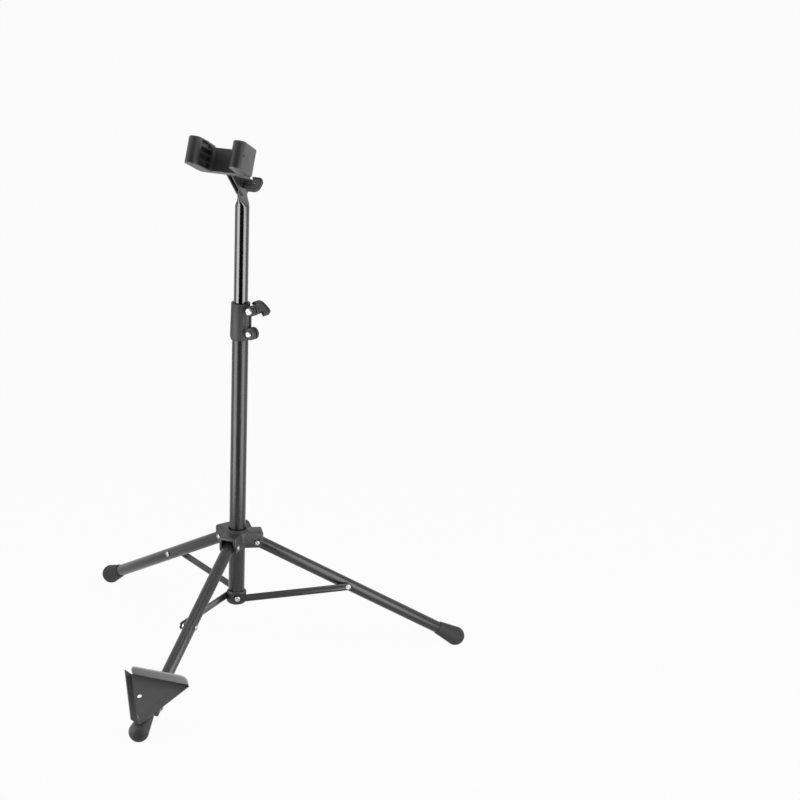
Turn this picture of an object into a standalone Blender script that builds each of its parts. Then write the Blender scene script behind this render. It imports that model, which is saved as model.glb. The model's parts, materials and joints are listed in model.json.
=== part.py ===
"""Folding floor stand for a bass clarinet.

A two-stage pole stands on a folding tripod. Its three legs swing in a sliding
hub and are held open by flat struts from a bracket at the pole's foot. A
moulded yoke tilts on the flattened top of the pole, and a bent tray
on the front leg carries the bell.

Metres, +Z up. The floor is z = 0 and the front leg points to -Y. The origin is
on the floor, in the middle of the stand's footprint.
"""

from math import acos, atan2, cos, hypot, pi, radians, sin, tan

import bmesh
import bpy
from mathutils import Matrix, Vector

# Gaps
GAP = 0.0003                    # between pieces that touch
PIN_CLEARANCE = 0.0003          # round a pin or screw in its hole
LEG_SLOT_CLEARANCE = 0.0005     # beside a leg in the hub
CUT_PAST = 0.0100               # a cutter past the faces that it opens

# Pole
LOWER_RADIUS = 0.0125
LOWER_WALL = 0.0013
LOWER_TOP = 0.5500
UPPER_RADIUS = 0.0108
UPPER_WALL = 0.0012
UPPER_BOTTOM = 0.2420
UPPER_SHOULDER = 0.7220         # where the round tube begins to flatten
TONGUE_START = 0.7380           # where it is fully flat
TONGUE_HALF_WIDTH = 0.0150
TONGUE_THICKNESS = 0.0047
HINGE_HEIGHT = 0.7570
BUSH_LENGTH = 0.0100

# Legs
LEG_AZIMUTHS = {"front": -90.0, "right": 30.0, "left": 150.0}
LEG_PITCH = radians(28.4)       # below the horizontal, opened out
LEG_RADIUS = 0.0093
LEG_WALL = 0.0012
LEG_LENGTH = 0.3674             # hinge to the middle of the foot's ball
LEG_END = 0.0070                # tube past the hinge, towards the pole
HUB_HINGE_RADIUS = 0.02965      # leg hinge from the pole's axis
STRUT_ALONG_LEG = 0.1651        # strut pin from the leg's hinge

# Feet
FOOT_RADIUS = 0.0150
FOOT_FLAT = 0.0008              # depth of the flat that stands on the floor
FOOT_SLEEVE_RADIUS = 0.01025
FOOT_SLEEVE_LENGTH = 0.0330     # back from the middle of the ball
FOOT_BORE_DEPTH = 0.0100        # end of the leg tube back from that middle

# Struts and their bracket
BRACKET_HINGE_HEIGHT = 0.0960
BRACKET_RADIUS = 0.0157
BRACKET_BELOW = 0.0112
BRACKET_ABOVE = 0.0107
BRACKET_BOWL = 0.0055           # rounding of the lower edge
BRACKET_ROUNDING = 0.0026       # of the upper edge
SPIGOT_LENGTH = 0.0140
STRUT_WIDTH = 0.0115
STRUT_THICKNESS = 0.0020
STRUT_INNER_FACE = 0.0130       # from the pole's axis, sideways
STRUT_PIN_RADIUS = 0.0024
STRUT_RIVET_HEAD = 0.0042
RIVET_DOME = 0.0016
BRACKET_PIN_END = 0.0055        # inner end of a bracket rivet from the axis

# Hub
HUB_BELOW = 0.0090              # under the leg hinges
HUB_ABOVE = 0.0170
HUB_ARM_HALF_WIDTH = 0.0140
HUB_NOSE = 0.0098               # arm past the leg's hinge
HUB_NOSE_FOOT = 0.0050
HUB_ROOF = 0.0045
HUB_NOSE_HEIGHT = 0.0090
HUB_CORNER = 0.0030
HUB_HOLLOW = 0.0080
HUB_ROUNDING = 0.0026
HUB_PIN_RADIUS = 0.0025
HUB_RIVET_HEAD = 0.0037
HUB_COLLAR_HEIGHT = 0.0040      # cone round the pole on top of the hub
HUB_COLLAR_FOOT = 0.0200
HUB_COLLAR_RADIUS = 0.0160
HUB_RECESS_RADIUS = 0.0148      # in the collar's top
HUB_RECESS_DEPTH = 0.0020
HUB_SCREW_HEIGHT = 0.0050
HUB_BOSS_RADIUS = 0.0075
HUB_BOSS_END = 0.0250

# Clamp between the tubes
CLAMP_BOTTOM = 0.5165
CLAMP_HEIGHT = 0.0570
CLAMP_RADIUS = 0.0145
CLAMP_FOOT_RADIUS = 0.0158
CLAMP_CHAMFER = 0.0050
CLAMP_TURN = radians(-18.0)     # where its lugs point
CLAMP_SLOT = 0.0024
CLAMP_LUG_REACH = 0.0235
CLAMP_LUG_HALF = 0.0062
CLAMP_UPPER_LUG = 0.0080
CLAMP_LOWER_LUG = 0.0095
CLAMP_FLANGE_EDGE = 0.0185
CLAMP_FLANGE_HALF = 0.0052
CLAMP_FLANGE_INSET = 0.0060     # from the sleeve's ends
CLAMP_UPPER_SCREW = 0.0485      # over the clamp's lower end
CLAMP_LOWER_SCREW = 0.0130
CLAMP_BOLT_HEAD = 0.0056
CLAMP_SCREW_HEAD = 0.0048
SCREW_RADIUS = 0.0025
SCREW_HEAD_HEIGHT = 0.0036
NUT_WIDTH = 0.0045
NUT_HEIGHT = 0.0040
NUT_BOLT_END = 0.0015           # screw past its nut

# Wing knobs
KNOB_HUB_RADIUS = 0.0076
KNOB_HUB_LENGTH = 0.0085
KNOB_RIBS = 12
KNOB_RIB_HEIGHT = 0.0005
KNOB_NECK_HALF = 0.0048
WING_HALF_WIDTH = 0.0140
WING_TIPS = 0.0060              # backs of the wing's tips over the knob's seat
WING_INSIDE = 0.0115            # where the wing's inner edge meets the neck
WING_REACH = 0.0255
WING_CORNER = 0.0085
WING_TIP_CORNER = 0.0015
WING_THICKNESS = 0.0048
KNOB_BORE_DEPTH = 0.0160

# Yoke
YOKE_TILT = radians(24.2)       # jaws above the horizontal
YOKE_BACK = Vector((0.0, -0.05025, 0.0431))     # back of the web from the hinge
YOKE_HEIGHT = 0.0406
YOKE_LENGTH = 0.0648
YOKE_HALF_BACK = 0.0417
YOKE_HALF_FRONT = 0.0450
JAW_THICKNESS = 0.0188
MOUTH_HALF_BACK = 0.0214
WEB_THICKNESS = 0.0129
YOKE_CORNER = 0.0084
WEB_DROP = 0.0045               # top of the web below the jaws' tops
WEB_DROP_HALF = 0.0255
WEB_DROP_DEPTH = 0.0300         # from the yoke's back
GROOVES = 4
GROOVE_DEPTH = 0.0060
GROOVE_RIB = 0.0018
GROOVE_EDGE = 0.0026
GROOVE_BACK = 0.0170            # ends of the grooves from the yoke's back
GROOVE_FRONT = 0.0520
JAW_HOLE_RADIUS = 0.0016
JAW_HOLE_DEPTH = 0.0045

# Fork that carries the yoke
FORK_SHEET = 0.0020
FORK_PLATE_HALF = 0.0135
FORK_PLATE_LOW = -0.0160
FORK_PLATE_HIGH = 0.0110
FORK_SCREW_RADIUS = 0.0020
FORK_SCREW_HEAD = 0.0036
FORK_SCREW_SPACING = 0.0090     # each side of the middle
FORK_SCREW_DEPTH = 0.0075
EAR_RADIUS = 0.0185             # round ends of the ears, about the hinge
YOKE_BOLT_HEAD = 0.0062

# Tray on the front leg
TRAY_PAST_SADDLE = 0.0178       # its back edge above the saddle's upper end
TRAY_LIFT = 0.0200              # floor over the leg's axis
TRAY_SHEET = 0.0018
TRAY_FOLD_CENTRE = -0.0045
TRAY_FOLD_HALF = 0.0389
TRAY_HALF_ANGLE = radians(28.5)
TRAY_FLOOR_LENGTH = 0.0680
TRAY_LENGTH = 0.0830
TRAY_LEFT_LIFT = 0.0079
TRAY_LEFT_REACH = 0.0082
TRAY_RIGHT_DROP = 0.0025
TRAY_RIGHT_REACH = 0.0156
TRAY_BACK_CENTRE = 0.0040
TRAY_BACK_HALF = 0.0450
TRAY_BACK_HEIGHT = 0.0180
TRAY_BACK_CORNER = 0.0085
TRAY_HOLE_RADIUS = 0.0036
TRAY_HOLE_X = -0.0150
TRAY_HOLE_ALONG = 0.0357
TRAY_DOT_RADIUS = 0.0014        # small hole in the back flange
TRAY_DOT_HEIGHT = 0.0100
SADDLE_TO_FOOT = 0.0074         # from its lower end to the foot's sleeve
SADDLE_LENGTH = 0.0260
SADDLE_HALF = 0.0128
SADDLE_BELOW = 0.0118
SADDLE_CORNER = 0.0040
SADDLE_BOLT_INSET = 0.0080      # cross bolt from the saddle's lower end

# Facets
ROUND = 28
FINE_ROUND = 40
SMALL_ROUND = 16

ALONG_X = (0.0, pi / 2, 0.0)
ALONG_Y = (-pi / 2, 0.0, 0.0)
AGAINST_Y = (pi / 2, 0.0, 0.0)
AGAINST_X = (0.0, -pi / 2, 0.0)

for old in list(bpy.data.objects):
    bpy.data.objects.remove(old, do_unlink=True)


def make_material(name, colour, metallic, roughness):
    material = bpy.data.materials.new(name)
    material.use_nodes = True
    shader = material.node_tree.nodes["Principled BSDF"]
    shader.inputs["Base Color"].default_value = (*colour, 1.0)
    shader.inputs["Metallic"].default_value = metallic
    shader.inputs["Roughness"].default_value = roughness
    return material


FINISHES = {
    "gloss_black_paint": ((0.012, 0.012, 0.013), 0.0, 0.14),
    "satin_black_paint": ((0.050, 0.051, 0.053), 0.0, 0.38),
    "black_plastic": ((0.040, 0.040, 0.042), 0.0, 0.55),
    "grey_plastic": ((0.090, 0.091, 0.095), 0.0, 0.50),
    "black_rubber": ((0.030, 0.030, 0.032), 0.0, 0.75),
    "zinc_steel": ((0.62, 0.63, 0.64), 1.0, 0.30),
}


def empty(name, parent=None, location=(0, 0, 0), rotation=(0, 0, 0)):
    axis = bpy.data.objects.new(name, None)
    axis.empty_display_size = 0.02
    bpy.context.scene.collection.objects.link(axis)
    axis.parent = parent
    axis.location = location
    axis.rotation_euler = rotation
    return axis


def place(name, bm, parent, location=(0, 0, 0), rotation=(0, 0, 0)):
    """Turn a bmesh into an object in the scene, shaded smooth.

    An open sheet keeps the side that its faces were drawn from."""
    if all(edge.is_manifold for edge in bm.edges):
        bmesh.ops.recalc_face_normals(bm, faces=bm.faces)
    mesh = bpy.data.meshes.new(name)
    bm.to_mesh(mesh)
    bm.free()
    mesh.shade_smooth()
    mesh.set_sharp_from_angle(angle=radians(35))
    shape = bpy.data.objects.new(name, mesh)
    bpy.context.scene.collection.objects.link(shape)
    shape.parent = parent
    shape.location = location
    shape.rotation_euler = rotation
    return shape


def part(name, bm, finish, parent, location=(0, 0, 0), rotation=(0, 0, 0)):
    """One piece of the stand, with its own material."""
    piece = place(name, bm, parent, location, rotation)
    piece.data.materials.append(make_material(name + "_finish", *FINISHES[finish]))
    return piece


def cutter(name, bm, parent, location=(0, 0, 0), rotation=(0, 0, 0)):
    """A shape that only cuts or adds to another."""
    shape = place(name, bm, parent, location, rotation)
    shape.hide_render = True
    shape.display_type = "WIRE"
    return shape


def combine(piece, tool, operation="DIFFERENCE"):
    step = piece.modifiers.new(tool.name, "BOOLEAN")
    step.operation = operation
    step.object = tool
    return step


def soften(piece, width, segments=1, angle=40):
    bevel = piece.modifiers.new("soft edges", "BEVEL")
    bevel.width = width
    bevel.segments = segments
    bevel.limit_method = "ANGLE"
    bevel.angle_limit = radians(angle)
    return bevel


def rounded(corners, steps=4):
    """Outline through (x, y, radius) corners, each turned into an arc."""
    points = []
    for index, (x, y, radius) in enumerate(corners):
        here = Vector((x, y))
        if radius == 0:
            points.append((x, y))
            continue
        before = (Vector(corners[index - 1][:2]) - here).normalized()
        after = (Vector(corners[(index + 1) % len(corners)][:2]) - here).normalized()
        half = before.angle(after) / 2
        centre = here + (before + after).normalized() * radius / sin(half)
        start = here + before * radius / tan(half) - centre
        end = here + after * radius / tan(half) - centre
        first = atan2(start.y, start.x)
        sweep = (atan2(end.y, end.x) - first + pi) % (2 * pi) - pi
        for step in range(steps + 1):
            turn = first + sweep * step / steps
            points.append((centre.x + radius * cos(turn), centre.y + radius * sin(turn)))
    return points


def arc(centre_x, centre_y, radius, first, last, steps):
    """Points on an arc, with its angles in degrees."""
    turns = [radians(first + (last - first) * step / steps) for step in range(steps + 1)]
    return [(centre_x + radius * cos(turn), centre_y + radius * sin(turn)) for turn in turns]


def prism(outline, low, high):
    """An outline in XY carried from one height to another."""
    bm = bmesh.new()
    face = bm.faces.new([bm.verts.new((x, y, low)) for x, y in outline])
    grown = bmesh.ops.extrude_face_region(bm, geom=[face])
    top = [item for item in grown["geom"] if isinstance(item, bmesh.types.BMVert)]
    bmesh.ops.translate(bm, verts=top, vec=(0, 0, high - low))
    return bm


def turned(profile, closed=False, segments=ROUND):
    """A profile of (radius, height) points turned about the Z axis."""
    bm = bmesh.new()
    points = [bm.verts.new((radius, 0.0, height)) for radius, height in profile]
    pairs = list(zip(points, points[1:]))
    if closed:
        pairs.append((points[-1], points[0]))
    edges = [bm.edges.new(pair) for pair in pairs]
    bmesh.ops.spin(bm, geom=points + edges, cent=(0, 0, 0), axis=(0, 0, 1),
                   angle=2 * pi, steps=segments, use_merge=True)
    bmesh.ops.remove_doubles(bm, verts=bm.verts, dist=1e-6)
    return bm


def cylinder(radius, low, high, segments=ROUND):
    return turned([(0, low), (radius, low), (radius, high), (0, high)], segments=segments)


def tube(radius, wall, low, high, segments=ROUND):
    inner = radius - wall
    return turned([(inner, low), (radius, low), (radius, high), (inner, high)],
                  closed=True, segments=segments)


def box(x, y, z):
    """A box between pairs of limits."""
    return prism([(x[0], y[0]), (x[1], y[0]), (x[1], y[1]), (x[0], y[1])], z[0], z[1])


def joined(shapes):
    """Several separate shapes in one bmesh, for a cutter."""
    whole = bmesh.new()
    for bm in shapes:
        mesh = bpy.data.meshes.new("joined")
        bmesh.ops.recalc_face_normals(bm, faces=bm.faces)
        bm.to_mesh(mesh)
        bm.free()
        whole.from_mesh(mesh)
        bpy.data.meshes.remove(mesh)
    return whole


def moved(bm, matrix):
    bmesh.ops.transform(bm, matrix=matrix, verts=bm.verts)
    return bm


def domed_head(radius, dome, base, steps=3):
    """Profile of a low round head over a base height, from the rim to the axis."""
    sphere = (radius ** 2 + dome ** 2) / (2 * dome)
    half = atan2(radius, sphere - dome)
    points = []
    for step in range(steps + 1):
        turn = half * (1 - step / steps)
        points.append((sphere * sin(turn), base + dome - sphere + sphere * cos(turn)))
    points[-1] = (0.0, base + dome)
    return points


def rivet(head, dome, shank, length):
    """A rivet whose head stands on z = 0 and whose shank runs down."""
    profile = [(0, -length), (shank, -length), (shank, 0)] + domed_head(head, dome, 0)
    return turned(profile, segments=SMALL_ROUND)


def touch(point, radius, side):
    """Angle in degrees where a line from a point touches a circle about the origin."""
    spread = acos(radius / hypot(*point))
    return (atan2(point[1], point[0]) + side * spread) * 180 / pi


def across(azimuth):
    """Sideways direction on the strut's side of a leg, seen from above."""
    turn = radians(azimuth)
    return Vector((sin(turn), -cos(turn), 0.0))


# Heights and reaches that follow from the sizes above
HUB_HEIGHT = FOOT_RADIUS - FOOT_FLAT + LEG_LENGTH * sin(LEG_PITCH)
FOOT_REACH = HUB_HINGE_RADIUS + LEG_LENGTH * cos(LEG_PITCH)
STRUT_PIN_REACH = HUB_HINGE_RADIUS + STRUT_ALONG_LEG * cos(LEG_PITCH)
STRUT_PIN_HEIGHT = HUB_HEIGHT - STRUT_ALONG_LEG * sin(LEG_PITCH)
STRUT_LENGTH = hypot(STRUT_PIN_REACH, STRUT_PIN_HEIGHT - BRACKET_HINGE_HEIGHT)
STRUT_RISE = atan2(STRUT_PIN_HEIGHT - BRACKET_HINGE_HEIGHT, STRUT_PIN_REACH)
STRUT_OUTER_FACE = STRUT_INNER_FACE + STRUT_THICKNESS
BRACKET_TOP = BRACKET_HINGE_HEIGHT + BRACKET_ABOVE
SADDLE_END = LEG_LENGTH - FOOT_SLEEVE_LENGTH - SADDLE_TO_FOOT
SADDLE_START = SADDLE_END - SADDLE_LENGTH
SADDLE_BOLT_ALONG = SADDLE_END - SADDLE_BOLT_INSET
POLE_Y = FOOT_REACH / 4         # puts the footprint's middle at the origin

pole_axis = empty("pole_axis", location=(0, POLE_Y, 0))


def build_pole():
    lower = tube(LOWER_RADIUS, LOWER_WALL, BRACKET_TOP + GAP, LOWER_TOP, FINE_ROUND)
    part("lower_tube", lower, "satin_black_paint", pole_axis)
    build_bracket()


def build_bracket():
    """Bowl-shaped plug in the pole's foot, with a flat for each strut."""
    flat = STRUT_INNER_FACE - GAP
    low = BRACKET_HINGE_HEIGHT - BRACKET_BELOW
    spigot = LOWER_RADIUS - LOWER_WALL - GAP
    bowl = arc(BRACKET_RADIUS - BRACKET_BOWL, low + BRACKET_BOWL, BRACKET_BOWL, -90, 0, 3)
    shoulder = arc(BRACKET_RADIUS - BRACKET_ROUNDING, BRACKET_TOP - BRACKET_ROUNDING,
                   BRACKET_ROUNDING, 0, 90, 2)
    profile = [(0, low)] + bowl + shoulder + [
        (spigot, BRACKET_TOP), (spigot, BRACKET_TOP + SPIGOT_LENGTH),
        (0, BRACKET_TOP + SPIGOT_LENGTH)]
    bracket = part("bottom_bracket", turned(profile), "black_plastic", pole_axis)
    sides = {name: across(azimuth) for name, azimuth in LEG_AZIMUTHS.items()}
    flats = []
    holes = []
    for side in sides.values():
        aim = (Matrix.Translation((0, 0, BRACKET_HINGE_HEIGHT))
               @ side.to_track_quat("Z", "Y").to_matrix().to_4x4())
        edge = BRACKET_RADIUS + CUT_PAST
        flats.append(moved(box((-BRACKET_RADIUS, BRACKET_RADIUS), (-edge, edge), (flat, edge)), aim))
        hole = cylinder(STRUT_PIN_RADIUS + PIN_CLEARANCE, BRACKET_PIN_END - GAP, edge, SMALL_ROUND)
        holes.append(moved(hole, aim))
    combine(bracket, cutter("bracket_flats", joined(flats), pole_axis))
    combine(bracket, cutter("bracket_pin_holes", joined(holes), pole_axis))
    for name, side in sides.items():
        head = STRUT_OUTER_FACE + GAP
        pin = rivet(STRUT_RIVET_HEAD, RIVET_DOME, STRUT_PIN_RADIUS, head - BRACKET_PIN_END)
        part("bracket_rivet_" + name, pin, "zinc_steel", pole_axis,
             side * head + Vector((0, 0, BRACKET_HINGE_HEIGHT)),
             side.to_track_quat("Z", "Y").to_euler())


def build_struts():
    half = STRUT_WIDTH / 2
    outline = arc(0, 0, half, 90, 270, 8) + arc(STRUT_LENGTH, 0, half, -90, 90, 8)
    for name, azimuth in LEG_AZIMUTHS.items():
        joint = empty("strut_joint_" + name, pole_axis, (0, 0, BRACKET_HINGE_HEIGHT),
                      (0, -STRUT_RISE, radians(azimuth)))
        bar = part("strut_bar_" + name, prism(outline, STRUT_INNER_FACE, STRUT_OUTER_FACE),
                   "satin_black_paint", joint, rotation=AGAINST_Y)
        holes = []
        for x in (0, STRUT_LENGTH):
            hole = cylinder(STRUT_PIN_RADIUS + PIN_CLEARANCE, STRUT_INNER_FACE - 0.005,
                            STRUT_OUTER_FACE + 0.005, SMALL_ROUND)
            holes.append(moved(hole, Matrix.Translation((x, 0, 0))))
        combine(bar, cutter("strut_holes_" + name, joined(holes), joint, rotation=AGAINST_Y))
        head = rivet(STRUT_RIVET_HEAD, RIVET_DOME, STRUT_PIN_RADIUS, STRUT_THICKNESS + GAP)
        part("strut_rivet_" + name, head, "zinc_steel", joint,
             (STRUT_LENGTH, -(STRUT_OUTER_FACE + GAP), 0), AGAINST_Y)


def hub_outline(nose, half):
    """Plan of the hub: an arm over each leg, with hollow corners between them."""
    corners = []
    for azimuth in sorted(LEG_AZIMUTHS.values()):
        turn = radians(azimuth)
        for side in (-half, half):
            corners.append((nose * cos(turn) - side * sin(turn),
                            nose * sin(turn) + side * cos(turn), HUB_CORNER))
        between = turn + pi / 3
        reach = half / sin(pi / 3)
        corners.append((reach * cos(between), reach * sin(between), HUB_HOLLOW))
    return rounded(corners, steps=3)


def build_hub():
    hub = empty("hub_axis", pole_axis, (0, 0, HUB_HEIGHT))
    nose = HUB_HINGE_RADIUS + HUB_NOSE
    half = HUB_ARM_HALF_WIDTH
    core = part("hub_body", prism(hub_outline(nose, half), -HUB_BELOW, HUB_ABOVE),
                "black_plastic", hub)
    soften(core, HUB_ROUNDING, 2, 60)
    foot = HUB_HINGE_RADIUS + HUB_NOSE_FOOT
    wedge_outline = [(foot - 0.005, -HUB_BELOW - 0.01), (foot, -HUB_BELOW),
                     (nose, HUB_NOSE_HEIGHT), (nose + 0.01, HUB_NOSE_HEIGHT),
                     (nose + 0.01, -HUB_BELOW - 0.01)]
    slot_inner = HUB_HINGE_RADIUS - hypot(LEG_END, LEG_RADIUS) - LEG_SLOT_CLEARANCE
    slot_top = HUB_ABOVE - HUB_ROOF
    slot_outline = rounded([
        (slot_inner, -0.03, 0),
        (slot_inner, slot_top, 0.003),
        (0.06, slot_top, 0),
        (0.06, -0.03, 0),
    ])
    slot_half = LEG_RADIUS + LEG_SLOT_CLEARANCE
    slots = []
    for name, azimuth in LEG_AZIMUTHS.items():
        turn = (pi / 2, 0, radians(azimuth))
        slots.append(cutter("hub_wedge_" + name, prism(wedge_outline, -0.03, 0.03), hub,
                            rotation=turn))
        slots.append(cutter("hub_slot_" + name, prism(slot_outline, -slot_half, slot_half),
                            hub, rotation=turn))
        slots.append(cutter("hub_pin_hole_" + name,
                            moved(cylinder(HUB_PIN_RADIUS + PIN_CLEARANCE, -0.03, 0.03, SMALL_ROUND),
                                  Matrix.Translation((HUB_HINGE_RADIUS, 0, 0))),
                            hub, rotation=turn))
    boss = cutter("hub_boss", cylinder(HUB_BOSS_RADIUS, 0.008, HUB_BOSS_END, 24), hub,
                  (0, 0, HUB_SCREW_HEIGHT), ALONG_Y)
    combine(core, boss, "UNION")
    top = HUB_ABOVE + HUB_COLLAR_HEIGHT
    collar = turned([(0, 0), (HUB_COLLAR_FOOT, 0), (HUB_COLLAR_FOOT, HUB_ABOVE - GAP),
                     (HUB_COLLAR_RADIUS, top), (0, top)])
    combine(core, cutter("hub_collar", collar, hub), "UNION")
    for slot in slots:
        combine(core, slot)
    bore_radius = LOWER_RADIUS + GAP
    bore = turned([(0, -0.03), (bore_radius, -0.03), (bore_radius, top - HUB_RECESS_DEPTH),
                   (HUB_RECESS_RADIUS, top + GAP), (HUB_RECESS_RADIUS, 0.05), (0, 0.05)],
                  segments=FINE_ROUND)
    combine(core, cutter("hub_bore", bore, hub))
    screw_hole = cylinder(SCREW_RADIUS + PIN_CLEARANCE, 0.005, 0.04, SMALL_ROUND)
    combine(core, cutter("hub_screw_hole", screw_hole, hub, (0, 0, HUB_SCREW_HEIGHT), ALONG_Y))

    knob_joint = empty("hub_knob_joint", hub, (0, HUB_BOSS_END + GAP, HUB_SCREW_HEIGHT), ALONG_Y)
    build_knob("hub_knob", knob_joint, radians(62),
               screw=HUB_BOSS_END - LOWER_RADIUS)

    for name, azimuth in LEG_AZIMUTHS.items():
        build_hub_rivet(name, azimuth, hub)
        joint = empty("leg_joint_" + name, hub,
                      Matrix.Rotation(radians(azimuth), 3, "Z") @ Vector((HUB_HINGE_RADIUS, 0, 0)),
                      (0, LEG_PITCH, radians(azimuth)))
        build_leg(name, joint)
    return hub


def build_hub_rivet(name, azimuth, hub):
    half = HUB_ARM_HALF_WIDTH + GAP
    head = domed_head(HUB_RIVET_HEAD, RIVET_DOME, half)
    foot = [(radius, -height) for radius, height in reversed(head)]
    profile = foot + [(HUB_PIN_RADIUS, -half), (HUB_PIN_RADIUS, half)] + head
    axle = empty("hub_rivet_axis_" + name, hub, rotation=(0, 0, radians(azimuth)))
    part("hub_rivet_" + name, turned(profile, segments=SMALL_ROUND), "zinc_steel", axle,
         (HUB_HINGE_RADIUS, 0, 0), ALONG_Y)


def build_leg(name, joint):
    end = LEG_LENGTH - FOOT_BORE_DEPTH
    leg = part("leg_tube_" + name, tube(LEG_RADIUS, LEG_WALL, -LEG_END, end),
               "satin_black_paint", joint, rotation=ALONG_X)
    holes = []
    pins = [(0, HUB_PIN_RADIUS), (STRUT_ALONG_LEG, STRUT_PIN_RADIUS)]
    if name == "front":
        pins.append((SADDLE_BOLT_ALONG, SCREW_RADIUS))
    for along, radius in pins:
        hole = cylinder(radius + PIN_CLEARANCE, -0.02, 0.02, SMALL_ROUND)
        holes.append(moved(hole, Matrix.Translation((along, 0, 0)) @ Matrix.Rotation(pi / 2, 4, "X")))
    combine(leg, cutter("leg_holes_" + name, joined(holes), joint))

    side = LEG_RADIUS + GAP
    collar = STRUT_INNER_FACE - GAP
    far_head = [(radius, -height) for radius, height in
                reversed(domed_head(STRUT_RIVET_HEAD, RIVET_DOME, side))]
    profile = far_head + [(STRUT_PIN_RADIUS, -side), (STRUT_PIN_RADIUS, side),
                          (STRUT_RIVET_HEAD, side), (STRUT_RIVET_HEAD, collar), (0, collar)]
    part("leg_pin_" + name, turned(profile, segments=SMALL_ROUND), "zinc_steel", joint,
         (STRUT_ALONG_LEG, 0, 0), AGAINST_Y)
    build_foot(name, joint)


def build_foot(name, joint):
    """Rubber cap: a cone over the tube that swells into a ball."""
    tilt = LEG_PITCH * 180 / pi
    cone = touch((FOOT_SLEEVE_RADIUS, -FOOT_SLEEVE_LENGTH), FOOT_RADIUS, 1)
    ball = [(0.0, LEG_LENGTH + FOOT_RADIUS)]
    for turn in (90 - tilt, 45, tilt, (tilt + cone) / 2, cone):
        ball.append((FOOT_RADIUS * cos(radians(turn)),
                     LEG_LENGTH + FOOT_RADIUS * sin(radians(turn))))
    bore = LEG_RADIUS + GAP
    sleeve_end = LEG_LENGTH - FOOT_SLEEVE_LENGTH
    bottom = LEG_LENGTH - FOOT_BORE_DEPTH + GAP
    profile = ball + [(FOOT_SLEEVE_RADIUS, sleeve_end), (bore, sleeve_end), (bore, bottom),
                      (0.0, bottom)]
    cap = part("foot_cap_" + name, turned(profile), "black_rubber", joint, rotation=ALONG_X)
    under = box((-0.03, 0.03), (-0.03, 0.03), (-0.03, -(FOOT_RADIUS - FOOT_FLAT)))
    combine(cap, cutter("floor_cut_" + name, under, joint, (LEG_LENGTH, 0, 0), (0, -LEG_PITCH, 0)))


def build_knob(name, joint, turn, screw=0.0):
    """Wing knob on the joint's Z axis: a ribbed hub with a crescent grip.

    With a screw length it carries its own screw, pointing back along -Z."""
    outline = []
    for step in range(2 * KNOB_RIBS):
        reach = KNOB_HUB_RADIUS - (step % 2) * KNOB_RIB_HEIGHT
        around = pi * step / KNOB_RIBS
        outline.append((reach * cos(around), reach * sin(around)))
    knob = part(name, prism(outline, 0, KNOB_HUB_LENGTH), "black_plastic", joint,
                rotation=(0, 0, turn))
    right = [(KNOB_NECK_HALF, KNOB_HUB_LENGTH / 2, 0), (KNOB_NECK_HALF, WING_INSIDE, WING_TIP_CORNER),
             (WING_HALF_WIDTH, WING_TIPS, WING_TIP_CORNER), (WING_HALF_WIDTH, WING_REACH, WING_CORNER)]
    left = [(-x, y, radius) for x, y, radius in reversed(right)]
    wing_outline = rounded(right + left)
    half = WING_THICKNESS / 2
    wing = cutter(name + "_wing", prism(wing_outline, -half, half), joint,
                  rotation=(pi / 2, 0, turn))
    soften(wing, 0.0008, 1, 50)
    combine(knob, wing, "UNION")
    if screw:
        shank = cylinder(SCREW_RADIUS, -screw, 0.004, SMALL_ROUND)
        combine(knob, cutter(name + "_screw", shank, joint), "UNION")
    else:
        bore = cylinder(SCREW_RADIUS + PIN_CLEARANCE, -0.01, KNOB_BORE_DEPTH, SMALL_ROUND)
        combine(knob, cutter(name + "_bore", bore, joint))
    return knob


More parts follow.
